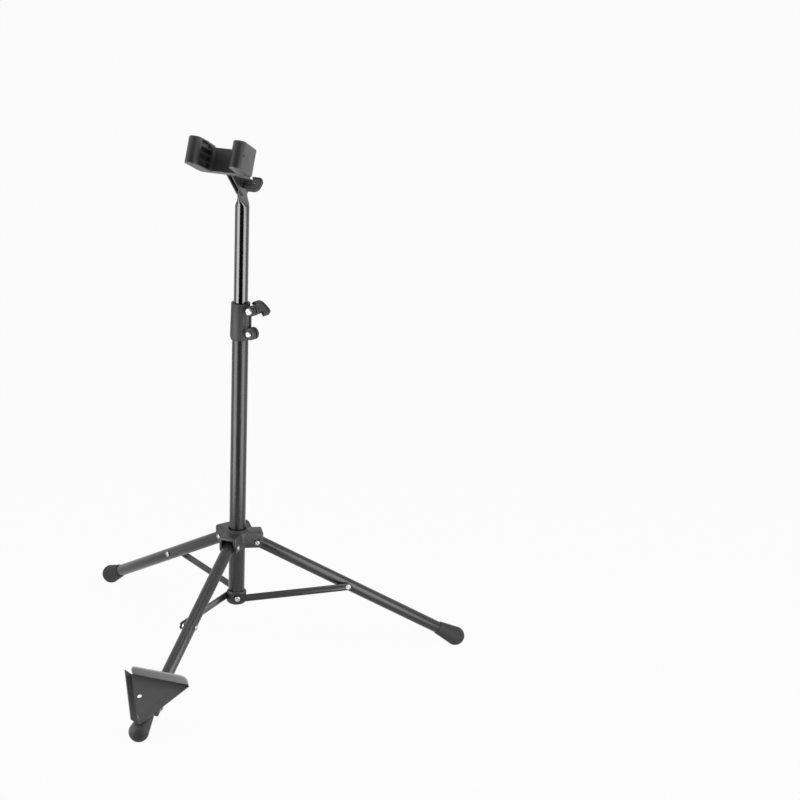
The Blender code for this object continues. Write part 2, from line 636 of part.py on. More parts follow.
def build_clamp():
    """Split sleeve that grips both tubes, with two lugged screws."""
    clamp = empty("clamp_axis", pole_axis, (0, 0, CLAMP_BOTTOM), (0, 0, CLAMP_TURN))
    profile = [(0, 0), (CLAMP_RADIUS, 0), (CLAMP_FOOT_RADIUS, CLAMP_CHAMFER),
               (CLAMP_RADIUS, CLAMP_HEIGHT), (0, CLAMP_HEIGHT)]
    sleeve = part("clamp_sleeve", turned(profile, segments=FINE_ROUND), "grey_plastic", clamp)
    flange = box((0, CLAMP_FLANGE_EDGE), (-CLAMP_FLANGE_HALF, CLAMP_FLANGE_HALF),
                 (CLAMP_FLANGE_INSET, CLAMP_HEIGHT - CLAMP_FLANGE_INSET))
    flange = cutter("clamp_flange", flange, clamp)
    soften(flange, 0.0015, 2, 50)
    combine(sleeve, flange, "UNION")
    screws = ((CLAMP_UPPER_SCREW, CLAMP_UPPER_LUG), (CLAMP_LOWER_SCREW, CLAMP_LOWER_LUG))
    for number, (height, radius) in enumerate(screws):
        lug = cutter(f"clamp_lug_{number}",
                     cylinder(radius, -CLAMP_LUG_HALF, CLAMP_LUG_HALF, 24), clamp,
                     (CLAMP_LUG_REACH, 0, height), ALONG_Y)
        soften(lug, 0.0010, 1, 60)
        combine(sleeve, lug, "UNION")
    lower_bore = LOWER_RADIUS + GAP
    upper_bore = UPPER_RADIUS + GAP
    step = LOWER_TOP - CLAMP_BOTTOM + GAP
    bore = turned([(0, -0.01), (lower_bore, -0.01), (lower_bore, step), (upper_bore, step),
                   (upper_bore, CLAMP_HEIGHT + 0.01), (0, CLAMP_HEIGHT + 0.01)],
                  segments=FINE_ROUND)
    combine(sleeve, cutter("clamp_bore", bore, clamp))
    slit = box((0.004, 0.05), (-CLAMP_SLOT / 2, CLAMP_SLOT / 2), (-0.01, CLAMP_HEIGHT + 0.01))
    combine(sleeve, cutter("clamp_slit", slit, clamp))
    side = CLAMP_LUG_HALF + GAP
    for number, (height, _) in enumerate(screws):
        hole = cylinder(SCREW_RADIUS + PIN_CLEARANCE, -0.03, 0.03, SMALL_ROUND)
        combine(sleeve, cutter(f"clamp_hole_{number}", hole, clamp,
                               (CLAMP_LUG_REACH, 0, height), ALONG_Y))

    length = 2 * side + KNOB_BORE_DEPTH - 0.001
    bolt = rivet(CLAMP_BOLT_HEAD, SCREW_HEAD_HEIGHT, SCREW_RADIUS, length)
    part("clamp_bolt", bolt, "zinc_steel", clamp, (CLAMP_LUG_REACH, -side, CLAMP_UPPER_SCREW),
         AGAINST_Y)
    length = 2 * side + NUT_HEIGHT + NUT_BOLT_END
    screw = rivet(CLAMP_SCREW_HEAD, SCREW_HEAD_HEIGHT, SCREW_RADIUS, length)
    part("clamp_screw", screw, "zinc_steel", clamp, (CLAMP_LUG_REACH, -side, CLAMP_LOWER_SCREW),
         AGAINST_Y)
    build_nut("clamp_nut", clamp, (CLAMP_LUG_REACH, side, CLAMP_LOWER_SCREW), ALONG_Y,
              SCREW_RADIUS, NUT_WIDTH)
    knob_joint = empty("clamp_knob_joint", clamp, (CLAMP_LUG_REACH, side, CLAMP_UPPER_SCREW),
                       ALONG_Y)
    build_knob("clamp_knob", knob_joint, radians(34))


def build_nut(name, parent, location, rotation, bore, half_width):
    corners = [(half_width / cos(pi / 6) * cos(pi * side / 3),
                half_width / cos(pi / 6) * sin(pi * side / 3)) for side in range(6)]
    nut = part(name, prism(corners, 0, NUT_HEIGHT), "zinc_steel", parent, location, rotation)
    hole = cylinder(bore + PIN_CLEARANCE, -0.005, NUT_HEIGHT + 0.005, SMALL_ROUND)
    combine(nut, cutter(name + "_hole", hole, parent, location, rotation))


def ring(half_x, half_y, height, steps=ROUND):
    """Cross-section between a circle and a flattened oval."""
    points = []
    flat = max(half_y - half_x, 0.0)
    for step in range(steps):
        turn = 2 * pi * (step + 0.5) / steps
        side = flat if sin(turn) > 0 else -flat
        end = min(half_x, half_y)
        points.append((half_x * cos(turn), side + end * sin(turn), height))
    return points


def lofted(rings):
    """Skin over a row of rings with equal numbers of points, closed at both ends."""
    bm = bmesh.new()
    rows = [[bm.verts.new(point) for point in points] for points in rings]
    for low, high in zip(rows, rows[1:]):
        for index in range(len(low)):
            after = (index + 1) % len(low)
            bm.faces.new((low[index], low[after], high[after], high[index]))
    bm.faces.new(rows[0])
    bm.faces.new(rows[-1])
    return bm


def build_mast():
    """Upper tube with its top pressed flat round the yoke's hinge, on a sliding bush."""
    inner = UPPER_RADIUS - UPPER_WALL
    thin = TONGUE_THICKNESS / 2
    bore_end = UPPER_SHOULDER - 0.008
    rings = [ring(inner, inner, bore_end), ring(inner, inner, UPPER_BOTTOM),
             ring(UPPER_RADIUS, UPPER_RADIUS, UPPER_BOTTOM),
             ring(UPPER_RADIUS, UPPER_RADIUS, UPPER_SHOULDER)]
    for share in (0.2, 0.4, 0.6, 0.8, 1.0):
        ease = (1 - cos(pi * share)) / 2
        rings.append(ring(UPPER_RADIUS + (thin - UPPER_RADIUS) * ease,
                          UPPER_RADIUS + (TONGUE_HALF_WIDTH - UPPER_RADIUS) * ease,
                          UPPER_SHOULDER + (TONGUE_START - UPPER_SHOULDER) * share))
    for turn in range(0, 81, 16):
        rings.append(ring(thin, TONGUE_HALF_WIDTH * cos(radians(turn)),
                          HINGE_HEIGHT + TONGUE_HALF_WIDTH * sin(radians(turn))))
    bush_top = UPPER_BOTTOM - GAP
    bush_radius = LOWER_RADIUS - LOWER_WALL - GAP
    spigot = inner - GAP
    bush = [(0, bush_top - BUSH_LENGTH), (bush_radius, bush_top - BUSH_LENGTH),
            (bush_radius, bush_top), (spigot, bush_top), (spigot, bush_top + 0.012),
            (0, bush_top + 0.012)]
    part("guide_bush", turned(bush), "black_plastic", pole_axis)
    mast = part("upper_tube", lofted(rings), "gloss_black_paint", pole_axis)
    hole = cylinder(SCREW_RADIUS + PIN_CLEARANCE, -0.02, 0.02, SMALL_ROUND)
    combine(mast, cutter("tongue_hole", hole, pole_axis, (0, 0, HINGE_HEIGHT), ALONG_X))


def yoke_outline():
    """Plan of the yoke: the web's back at y = 0, the jaws towards -Y."""
    end = JAW_THICKNESS / 2 - 0.0001
    mouth_front = YOKE_HALF_FRONT - JAW_THICKNESS
    right = [(YOKE_HALF_BACK, 0, YOKE_CORNER), (YOKE_HALF_FRONT, -YOKE_LENGTH, end),
             (mouth_front, -YOKE_LENGTH, end), (MOUTH_HALF_BACK, -WEB_THICKNESS, 0.004)]
    left = [(-x, y, radius) for x, y, radius in reversed(right)]
    return rounded(right + left, steps=6)


def mouth_half(along):
    """Half width of the mouth at a distance from the yoke's back."""
    mouth_front = YOKE_HALF_FRONT - JAW_THICKNESS
    share = (along - WEB_THICKNESS) / (YOKE_LENGTH - WEB_THICKNESS)
    return MOUTH_HALF_BACK + (mouth_front - MOUTH_HALF_BACK) * share


def build_yoke():
    joint = empty("yoke_joint", pole_axis, (0, 0, HINGE_HEIGHT))
    frame = empty("yoke_frame", joint, YOKE_BACK, (-YOKE_TILT, 0, 0))
    half = YOKE_HEIGHT / 2
    shell = part("yoke_shell", prism(yoke_outline(), -half, half), "grey_plastic", frame)
    soften(shell, 0.0010, 1, 60)
    drop = box((-WEB_DROP_HALF, WEB_DROP_HALF), (-WEB_DROP_DEPTH, CUT_PAST),
               (half - WEB_DROP, half + CUT_PAST))
    combine(shell, cutter("web_drop", drop, frame))
    pitch = (YOKE_HEIGHT - 2 * GROOVE_EDGE + GROOVE_RIB) / GROOVES
    grooves = []
    for number in range(GROOVES):
        low = -half + GROOVE_EDGE + number * pitch
        for side in (-1, 1):
            outline = [(side * 0.012, -GROOVE_BACK), (side * 0.012, -GROOVE_FRONT),
                       (side * (mouth_half(GROOVE_FRONT) + GROOVE_DEPTH), -GROOVE_FRONT),
                       (side * (mouth_half(GROOVE_BACK) + GROOVE_DEPTH), -GROOVE_BACK)]
            grooves.append(prism(outline, low, low + pitch - GROOVE_RIB))
    combine(shell, cutter("jaw_grooves", joined(grooves), frame))
    holes = []
    end = YOKE_LENGTH - JAW_THICKNESS / 2
    for side in (-1, 1):
        hole = cylinder(JAW_HOLE_RADIUS, YOKE_HALF_FRONT - JAW_HOLE_DEPTH - 0.0005, 0.06, 12)
        turn = Matrix.Rotation(side * pi / 2, 4, "Y")
        holes.append(moved(hole, Matrix.Translation((0, -end, 0)) @ turn))
    combine(shell, cutter("jaw_holes", joined(holes), frame))
    screw_holes = []
    for side in (-1, 1):
        hole = cylinder(FORK_SCREW_RADIUS + PIN_CLEARANCE, -0.01, FORK_SCREW_DEPTH + 0.001, SMALL_ROUND)
        screw_holes.append(moved(hole, Matrix.Translation((side * FORK_SCREW_SPACING, 0, 0))
                                 @ Matrix.Rotation(pi / 2, 4, "X")))
    combine(shell, cutter("web_screw_holes", joined(screw_holes), frame))
    build_fork(joint, frame)


def build_fork(joint, frame):
    """Folded sheet: two ears on the tongue and a plate on the back of the yoke."""
    gap_side = TONGUE_THICKNESS / 2 + GAP
    outer = gap_side + FORK_SHEET
    direction = Vector((0, -cos(YOKE_TILT), sin(YOKE_TILT)))
    upright = Vector((0, sin(YOKE_TILT), cos(YOKE_TILT)))
    seat = YOKE_BACK - direction * (GAP + FORK_SHEET / 2)
    low = (seat + upright * FORK_PLATE_LOW).yz
    high = (seat + upright * FORK_PLATE_HIGH).yz
    first = touch(low, EAR_RADIUS, 1)
    last = touch(high, EAR_RADIUS, -1) + 360
    ear = [tuple(low)] + arc(0, 0, EAR_RADIUS, first, last, 12) + [tuple(high)]
    plate = box((-FORK_PLATE_HALF, FORK_PLATE_HALF), (GAP, GAP + FORK_SHEET),
                (FORK_PLATE_LOW, FORK_PLATE_HIGH))
    fork = part("yoke_fork", plate, "satin_black_paint", frame)
    for name, start in (("left", -outer), ("right", gap_side)):
        side = cutter("fork_ear_" + name, prism(ear, start, start + FORK_SHEET), joint,
                      rotation=(pi / 2, 0, pi / 2))
        combine(fork, side, "UNION")
    hinge = cylinder(SCREW_RADIUS + PIN_CLEARANCE, -0.02, 0.02, SMALL_ROUND)
    combine(fork, cutter("fork_hinge_hole", hinge, joint, rotation=ALONG_X))
    holes = []
    for side in (-1, 1):
        hole = cylinder(FORK_SCREW_RADIUS + PIN_CLEARANCE, -0.02, 0.02, SMALL_ROUND)
        holes.append(moved(hole, Matrix.Translation((side * FORK_SCREW_SPACING, 0, 0))
                           @ Matrix.Rotation(pi / 2, 4, "X")))
    combine(fork, cutter("fork_screw_holes", joined(holes), frame))
    back = 2 * GAP + FORK_SHEET
    for name, side in (("left", -1), ("right", 1)):
        screw = rivet(FORK_SCREW_HEAD, RIVET_DOME, FORK_SCREW_RADIUS, back + FORK_SCREW_DEPTH)
        part("fork_screw_" + name, screw, "zinc_steel", frame,
             (side * FORK_SCREW_SPACING, back, 0), ALONG_Y)

    length = 2 * outer + KNOB_BORE_DEPTH - 0.001 + 2 * GAP
    bolt = rivet(YOKE_BOLT_HEAD, SCREW_HEAD_HEIGHT, SCREW_RADIUS, length)
    part("yoke_bolt", bolt, "zinc_steel", joint, (-outer - GAP, 0, 0), AGAINST_X)
    knob_joint = empty("yoke_knob_joint", joint, (outer + GAP, 0, 0), ALONG_X)
    build_knob("yoke_knob", knob_joint, radians(120))


def build_tray(joint):
    """Bent sheet tray: a tapering floor with a back flange and two unlike side flanges."""
    tray = empty("tray_frame", joint, (SADDLE_START - TRAY_PAST_SADDLE, 0, TRAY_LIFT), (0, 0, pi / 2))
    narrow = TRAY_FOLD_HALF - TRAY_FLOOR_LENGTH * tan(TRAY_HALF_ANGLE)
    left_outer = TRAY_FOLD_HALF + TRAY_LEFT_REACH
    right_outer = TRAY_FOLD_HALF + TRAY_RIGHT_REACH
    taper = TRAY_LENGTH * tan(TRAY_HALF_ANGLE)
    spots = {
        "back_left": (-TRAY_FOLD_HALF, 0, 0),
        "back_right": (TRAY_FOLD_HALF, 0, 0),
        "front_right": (narrow, -TRAY_FLOOR_LENGTH, 0),
        "front_left": (-narrow, -TRAY_FLOOR_LENGTH, 0),
        "left_tip": (-left_outer, 0, TRAY_LEFT_LIFT),
        "left_end": (taper - left_outer, -TRAY_LENGTH, TRAY_LEFT_LIFT),
        "right_tip": (right_outer, 0, -TRAY_RIGHT_DROP),
        "right_end": (right_outer - taper, -TRAY_LENGTH, -TRAY_RIGHT_DROP),
    }
    bm = bmesh.new()
    at = {name: bm.verts.new((x + TRAY_FOLD_CENTRE, y, z)) for name, (x, y, z) in spots.items()}
    for names in (("back_left", "front_left", "front_right", "back_right"),
                  ("left_tip", "left_end", "front_left", "back_left"),
                  ("back_right", "front_right", "right_end", "right_tip"),
                  ("front_left", "left_end", "right_end", "front_right")):
        bm.faces.new([at[name] for name in names])
    sheet = part("bell_tray", bm, "satin_black_paint", tray)
    thick = sheet.modifiers.new("sheet", "SOLIDIFY")
    thick.thickness = TRAY_SHEET
    thick.offset = -1
    thick.use_even_offset = True
    corner = TRAY_BACK_CORNER
    high = TRAY_BACK_HEIGHT
    left = TRAY_BACK_CENTRE - TRAY_BACK_HALF
    right = TRAY_BACK_CENTRE + TRAY_BACK_HALF
    flange = rounded([(left, -TRAY_SHEET, 0), (right, -TRAY_SHEET, 0), (right, high, corner),
                      (left, high, corner)])
    back = cutter("tray_back", prism(flange, -TRAY_SHEET, GAP), tray, rotation=(pi / 2, 0, 0))
    combine(sheet, back, "UNION")
    hole = cylinder(TRAY_HOLE_RADIUS, -0.02, 0.02, SMALL_ROUND)
    combine(sheet, cutter("tray_hole", hole, tray, (TRAY_HOLE_X, -TRAY_HOLE_ALONG, 0)))
    dot = cylinder(TRAY_DOT_RADIUS, -0.01, 0.01, 12)
    combine(sheet, cutter("tray_dot", dot, tray, (0, 0, TRAY_DOT_HEIGHT), ALONG_Y))


def build_saddle(joint):
    """Moulded block under the tray, held on the leg by a cross screw."""
    top = TRAY_LIFT - TRAY_SHEET - GAP
    outline = rounded([(x, y, SADDLE_CORNER) for x, y in (
        (-SADDLE_HALF, -SADDLE_BELOW), (SADDLE_HALF, -SADDLE_BELOW), (SADDLE_HALF, top),
        (-SADDLE_HALF, top))])
    saddle = part("tray_saddle", prism(outline, SADDLE_START, SADDLE_END), "black_plastic",
                  joint, rotation=(pi / 2, 0, pi / 2))
    bore = cylinder(LEG_RADIUS + GAP, SADDLE_START - CUT_PAST, SADDLE_END + CUT_PAST)
    combine(saddle, cutter("saddle_bore", bore, joint, rotation=ALONG_X))
    hole = cylinder(SCREW_RADIUS + PIN_CLEARANCE, -0.02, 0.02, SMALL_ROUND)
    combine(saddle, cutter("saddle_bolt_hole", hole, joint, (SADDLE_BOLT_ALONG, 0, 0), ALONG_Y))
    side = SADDLE_HALF + GAP
    bolt = rivet(CLAMP_SCREW_HEAD, SCREW_HEAD_HEIGHT, SCREW_RADIUS,
                 2 * side + NUT_HEIGHT + NUT_BOLT_END)
    part("saddle_bolt", bolt, "zinc_steel", joint, (SADDLE_BOLT_ALONG, -side, 0), AGAINST_Y)
    build_nut("saddle_nut", joint, (SADDLE_BOLT_ALONG, side, 0), ALONG_Y, SCREW_RADIUS, NUT_WIDTH)


build_pole()
build_struts()
build_hub()
build_clamp()
build_mast()
build_yoke()
front_leg = bpy.data.objects["leg_joint_front"]
build_tray(front_leg)
build_saddle(front_leg)
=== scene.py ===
# %% [markdown]
# # A folding stand for a bass clarinet
#
# The stand is a steel pole on a folding tripod, with a moulded yoke at the top
# and a bent sheet tray for the bell on the front leg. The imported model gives
# every piece its size and place. This lesson dresses it: tubes get round walls
# and rounded rims, moulded parts get soft edges, and each finish gets its grain.

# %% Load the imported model
import json
from math import atan2, cos, pi, radians, sin

import bmesh
import bpy
from mathutils import Matrix, Vector


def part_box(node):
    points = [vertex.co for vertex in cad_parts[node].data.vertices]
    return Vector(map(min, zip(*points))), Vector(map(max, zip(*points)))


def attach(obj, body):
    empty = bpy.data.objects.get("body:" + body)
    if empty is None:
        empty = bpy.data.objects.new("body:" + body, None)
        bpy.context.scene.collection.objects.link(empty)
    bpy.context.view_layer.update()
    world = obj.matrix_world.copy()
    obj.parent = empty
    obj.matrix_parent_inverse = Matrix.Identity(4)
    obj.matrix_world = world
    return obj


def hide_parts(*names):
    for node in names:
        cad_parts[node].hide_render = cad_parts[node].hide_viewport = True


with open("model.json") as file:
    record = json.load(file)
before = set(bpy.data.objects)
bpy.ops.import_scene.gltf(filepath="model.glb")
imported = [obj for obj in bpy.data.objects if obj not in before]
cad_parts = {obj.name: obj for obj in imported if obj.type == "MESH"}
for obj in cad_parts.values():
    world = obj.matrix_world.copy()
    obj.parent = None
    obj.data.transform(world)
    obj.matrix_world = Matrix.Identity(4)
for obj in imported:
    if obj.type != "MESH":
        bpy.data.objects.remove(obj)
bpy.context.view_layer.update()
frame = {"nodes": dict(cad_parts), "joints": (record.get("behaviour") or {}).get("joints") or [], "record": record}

MM = 0.001
CLOSE = 0.001 * MM              # nearer than this counts as the same place
joints = {joint["name"]: joint for joint in frame["joints"]}
POLE = Vector(joints["mast_swivel"]["pos_m"])
POLE.z = 0.0

# %% [markdown]
# ## Camera
#
# The photograph was taken with a long lens from above and to the right of the
# front leg. Its focal length and the point where the lens looks straight on were
# measured from the tubes. A shifted lens puts that point off the middle of the
# frame, as it is in the photograph.

# %% Place the camera
PICTURE = 800                   # pixels across
FOCAL_LENGTH = 2485.8           # in pixels of the picture
STRAIGHT_ON = (282.0, 437.0)    # pixel that the lens axis goes through
SENSOR = 36.0                   # millimetres, as Blender has it
AZIMUTH = radians(22.170)
ELEVATION = radians(19.004)
ROLL = radians(1.205)
DISTANCE = 3.8164               # metres from the pole, as the next two
AIM_HEIGHT = 0.3589
SIDEWAYS = 0.0664

backward = Vector((sin(AZIMUTH) * cos(ELEVATION), -cos(AZIMUTH) * cos(ELEVATION), sin(ELEVATION)))
level = Vector((cos(AZIMUTH), sin(AZIMUTH), 0.0))
upward = backward.cross(level)
rightward = level * cos(ROLL) + upward * sin(ROLL)
upward = upward * cos(ROLL) - level * sin(ROLL)

lens = bpy.data.cameras.new("photo_camera")
lens.sensor_width = SENSOR
lens.lens = FOCAL_LENGTH * SENSOR / PICTURE
lens.shift_x = (PICTURE / 2 - STRAIGHT_ON[0]) / PICTURE
lens.shift_y = (STRAIGHT_ON[1] - PICTURE / 2) / PICTURE
lens.clip_end = 40.0
camera = bpy.data.objects.new("photo_camera", lens)
bpy.context.scene.collection.objects.link(camera)
camera.matrix_world = Matrix((
    (rightward.x, upward.x, backward.x, 0),
    (rightward.y, upward.y, backward.y, 0),
    (rightward.z, upward.z, backward.z, 0),
    (0, 0, 0, 1),
))
camera.location = POLE + Vector((0, 0, AIM_HEIGHT)) + backward * DISTANCE + rightward * SIDEWAYS
bpy.context.scene.camera = camera
print("lens", round(lens.lens, 2), "mm, camera at", [round(value, 3) for value in camera.location])

# %% [markdown]
# ## Shader sums
#
# A finish is easier to read as a sum than as a web of nodes. This small class
# wraps one socket. Adding, multiplying or subtracting it adds the Math node.

# %% A socket that takes part in sums
class Flow:
    """One output socket, with Python's operators as Math nodes."""

    def __init__(self, tree, socket):
        self.tree = tree
        self.socket = socket

    def maths(self, operation, first, second):
        return add_node(self.tree, "ShaderNodeMath", {"operation": operation}, {0: first, 1: second})

    def __add__(self, other):
        return self.maths("ADD", self, other)

    def __sub__(self, other):
        return self.maths("SUBTRACT", self, other)

    def __mul__(self, other):
        return self.maths("MULTIPLY", self, other)

    def between(self, low, high, start=0.0, end=1.0):
        """The same value stretched from low..high to start..end and held there."""
        return add_node(self.tree, "ShaderNodeMapRange", {"clamp": True},
                        {0: self, 1: low, 2: high, 3: start, 4: end})


def add_node(tree, kind, settings, inputs, output=0):
    """Adds one node: its settings first, then the values or links of its sockets."""
    node = tree.nodes.new(kind)
    for name, value in settings.items():
        setattr(node, name, value)
    for name, value in inputs.items():
        if isinstance(value, Flow):
            tree.links.new(value.socket, node.inputs[name])
        else:
            node.inputs[name].default_value = value
    return Flow(tree, node.outputs[output])


def mix_colours(share, first, second):
    """Colour between two others. The Mix node's colour sockets are 6 and 7."""
    return add_node(share.tree, "ShaderNodeMix", {"data_type": "RGBA"},
                    {0: share, 6: first, 7: second}, output=2)


# %% [markdown]
# ## Finishes
#
# The tubes are powder coated, which leaves a fine orange peel. The moulded parts
# have the matt grain of a spark-eroded mould, and the small steel parts are zinc
# plated. Every pattern is in Object coordinates, so its grain has a real size.

# %% Make a material with one shader
finishes = {}


def new_finish(slot, metallic=0.0):
    material = bpy.data.materials.new(slot)
    material.use_nodes = True
    shader = material.node_tree.nodes["Principled BSDF"]
    shader.inputs["Metallic"].default_value = metallic
    finishes[slot] = material
    place = add_node(material.node_tree, "ShaderNodeTexCoord", {}, {}, output=3)
    return material.node_tree, shader, place


def noise(place, scale, detail, roughness=0.5):
    """Noise with a scale in waves to the metre."""
    return add_node(place.tree, "ShaderNodeTexNoise", {},
                    {"Vector": place, "Scale": scale, "Detail": detail, "Roughness": roughness})


def link_surface(shader, colour, roughness, height, depth):
    """Links a finish to its shader. The grain's height varies over its depth in metres."""
    tree = colour.tree
    tree.links.new(colour.socket, shader.inputs["Base Color"])
    tree.links.new(roughness.socket, shader.inputs["Roughness"])
    bump = add_node(tree, "ShaderNodeBump", {}, {"Height": height, "Distance": depth, "Strength": 1.0})
    tree.links.new(bump.socket, shader.inputs["Normal"])


def grey(value, warmth=0.0):
    return (value * (1 + warmth), value, value * (1 - warmth), 1.0)


# %% Powder coat, satin and gloss
def powder_coat(slot, tone, roughness, peel_depth, shine):
    tree, shader, place = new_finish(slot)
    peel = noise(place, scale=420.0, detail=2.0)
    cloud = noise(place, scale=9.0, detail=4.0).between(0.35, 0.7)
    speck = noise(place, scale=1500.0, detail=1.0).between(0.68, 0.75)
    colour = mix_colours(cloud, grey(tone * 0.88), grey(tone * 1.18, 0.01))
    colour = mix_colours(speck * 0.25, colour, grey(tone * 3.0))
    link_surface(shader, colour, cloud * 0.05 + speck * 0.10 + roughness, peel, peel_depth)
    shader.inputs["Specular IOR Level"].default_value = shine


powder_coat("satin_black_paint", tone=0.036, roughness=0.26, peel_depth=0.06 * MM, shine=0.45)
powder_coat("gloss_black_paint", tone=0.006, roughness=0.12, peel_depth=0.02 * MM, shine=0.95)


# %% Moulded plastic, black and grey
def moulded(slot, tone, roughness, grain_depth, shine):
    tree, shader, place = new_finish(slot)
    grain = noise(place, scale=2600.0, detail=2.0, roughness=0.6)
    flow = noise(place, scale=38.0, detail=3.0).between(0.3, 0.75)
    rub = noise(place, scale=190.0, detail=5.0, roughness=0.7).between(0.62, 0.8)
    colour = mix_colours(flow, grey(tone * 0.85), grey(tone * 1.15))
    colour = mix_colours(rub * 0.3, colour, grey(tone * 1.8, 0.01))
    link_surface(shader, colour, flow * 0.08 + roughness - rub * 0.08, grain, grain_depth)
    shader.inputs["Specular IOR Level"].default_value = shine


moulded("black_plastic", tone=0.030, roughness=0.44, grain_depth=0.10 * MM, shine=0.5)
moulded("grey_plastic", tone=0.052, roughness=0.50, grain_depth=0.12 * MM, shine=0.40)
moulded("yoke_plastic", tone=0.026, roughness=0.38, grain_depth=0.08 * MM, shine=0.85)


# %% Rubber of the feet
def rubber(slot, tone, roughness, grain_depth, sheen):
    tree, shader, place = new_finish(slot)
    grain = noise(place, scale=1400.0, detail=3.0, roughness=0.7)
    dust = noise(place, scale=60.0, detail=6.0, roughness=0.65).between(0.45, 0.8)
    colour = mix_colours(dust, grey(tone), grey(tone * 1.9, 0.04))
    link_surface(shader, colour, dust * 0.12 + roughness, grain, grain_depth)
    shader.inputs["Sheen Weight"].default_value = sheen


rubber("black_rubber", tone=0.017, roughness=0.66, grain_depth=0.15 * MM, sheen=0.05)


# %% Zinc plated steel
def plated(slot, cool, warm, roughness, pit_depth):
    tree, shader, place = new_finish(slot, metallic=1.0)
    cloud = noise(place, scale=260.0, detail=4.0).between(0.3, 0.75)
    pits = noise(place, scale=2200.0, detail=2.0)
    colour = mix_colours(cloud, cool, warm)
    link_surface(shader, colour, cloud * 0.14 + roughness, pits, pit_depth)


plated("zinc_steel", cool=(0.44, 0.45, 0.46, 1.0), warm=(0.60, 0.59, 0.57, 1.0),
       roughness=0.30, pit_depth=0.03 * MM)

# %% [markdown]
# The tray is painted as the legs are. Its upright back flange looks light grey,
# and that light is painted in: the paint there turns light grey as a painted
# reflection of the bright light that the flange mirrors. Two distances, over the
# tray's floor and from its back edge, tell the shader where the flange is.

# %% Tray paint with a painted reflection on its back flange
LEG_PITCH = radians(28.4)       # below the horizontal
TRAY_ALONG = 283.2 * MM         # back edge, from the front leg's hinge
TRAY_LIFT = 20.0 * MM           # floor over the leg's axis
TRAY_UP = Vector((0, -sin(LEG_PITCH), cos(LEG_PITCH)))
TRAY_BACKWARD = Vector((0, cos(LEG_PITCH), sin(LEG_PITCH)))
TRAY_BACK = Vector(joints["leg_front_swing"]["pos_m"]) - TRAY_BACKWARD * TRAY_ALONG + TRAY_UP * TRAY_LIFT
FLANGE_FROM = 0.4 * MM          # over the floor
FLANGE_FULL = 1.0 * MM
FLANGE_FRONT = -1.4 * MM        # from the back edge
FLANGE_BODY = -0.8 * MM


def tray_paint(slot, painted_reflection_tone):
    powder_coat(slot, tone=0.045, roughness=0.34, peel_depth=0.06 * MM, shine=0.5)
    tree = finishes[slot].node_tree
    shader = tree.nodes["Principled BSDF"]
    paint = Flow(tree, shader.inputs["Base Color"].links[0].from_socket)
    place = add_node(tree, "ShaderNodeTexCoord", {}, {}, output=3)
    from_back = add_node(tree, "ShaderNodeVectorMath", {"operation": "SUBTRACT"}, {0: place, 1: TRAY_BACK})
    height, behind = (add_node(tree, "ShaderNodeVectorMath", {"operation": "DOT_PRODUCT"},
                               {0: from_back, 1: axis}, output=1) for axis in (TRAY_UP, TRAY_BACKWARD))
    # painted reflection: where the back flange stands, the paint's colour is lifted to a light grey that stands in
    # for the light the flange mirrors
    flange = height.between(FLANGE_FROM, FLANGE_FULL) * behind.between(FLANGE_FRONT, FLANGE_BODY)
    colour = mix_colours(flange, paint, grey(painted_reflection_tone))
    tree.links.new(colour.socket, shader.inputs["Base Color"])


# 0.62 is the light grey of the painted reflection on the back flange
tray_paint("tray_paint", painted_reflection_tone=0.62)
print("finishes", sorted(finishes))

# %% [markdown]
# ## Working by hand
#
# The pieces are made with the same operators as by hand: add a primitive, enter
# edit mode, pick faces or edges, then inset, extrude, bevel or cut. These short
# helpers do the picking and put a finished piece in its place.

# %% Helpers for edit mode
SHARP_FROM = radians(38)        # edges that bend more are rounded
SMOOTH_WITHIN = 35              # degrees of bend that are shaded smooth


def deselect():
    bpy.ops.object.select_all(action="DESELECT")


def make_active(piece):
    deselect()
    piece.select_set(True)
    bpy.context.view_layer.objects.active = piece


def edit(piece, mode="FACE"):
    make_active(piece)
    bpy.ops.object.mode_set(mode="EDIT")
    bpy.ops.mesh.select_mode(type=mode)
    bpy.ops.mesh.select_all(action="DESELECT")


def done():
    bpy.ops.object.mode_set(mode="OBJECT")


def pick(piece, kind, test):
    """Selects the faces, edges or vertices that pass a test, and no others."""
    bpy.ops.mesh.select_all(action="DESELECT")
    shape = bmesh.from_edit_mesh(piece.data)
    for item in getattr(shape, kind):
        if test(item):
            item.select_set(True)
    bmesh.update_edit_mesh(piece.data)


def middle(edge):
    return (edge.verts[0].co + edge.verts[1].co) / 2


def apply_modifier(piece, kind, **settings):
    make_active(piece)
    step = piece.modifiers.new("step", kind)
    for name, value in settings.items():
        setattr(step, name, value)
    bpy.ops.object.modifier_apply(modifier=step.name)


def round_edges(piece, width):
    apply_modifier(piece, "BEVEL", width=width, segments=2, limit_method="ANGLE",
                   angle_limit=SHARP_FROM, miter_outer="MITER_ARC")


def cut(piece, tool):
    apply_modifier(piece, "BOOLEAN", operation="DIFFERENCE", object=tool)
    bpy.data.objects.remove(tool, do_unlink=True)


def settle(piece, name, body, slot, place=None, nodes=(), angle=SMOOTH_WITHIN):
    """Puts a finished piece in place, with its finish, on its body."""
    if place is not None:
        piece.matrix_world = place @ piece.matrix_basis
    make_active(piece)
    bpy.ops.object.transform_apply(location=True, rotation=True, scale=True)
    bpy.ops.object.shade_smooth_by_angle(angle=radians(angle))
    piece.name = name
    piece.data.name = name
    piece.data.materials.clear()
    piece.data.materials.append(finishes[slot])
    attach(piece, body)
    if nodes:
        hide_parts(*nodes)
    return piece


def frame_at(point, x_axis, y_axis):
    """Matrix of a local frame from its origin and two axes."""
    z_axis = x_axis.cross(y_axis)
    return Matrix((
        (x_axis.x, y_axis.x, z_axis.x, point.x),
        (x_axis.y, y_axis.y, z_axis.y, point.y),
        (x_axis.z, y_axis.z, z_axis.z, point.z),
        (0, 0, 0, 1),
    ))


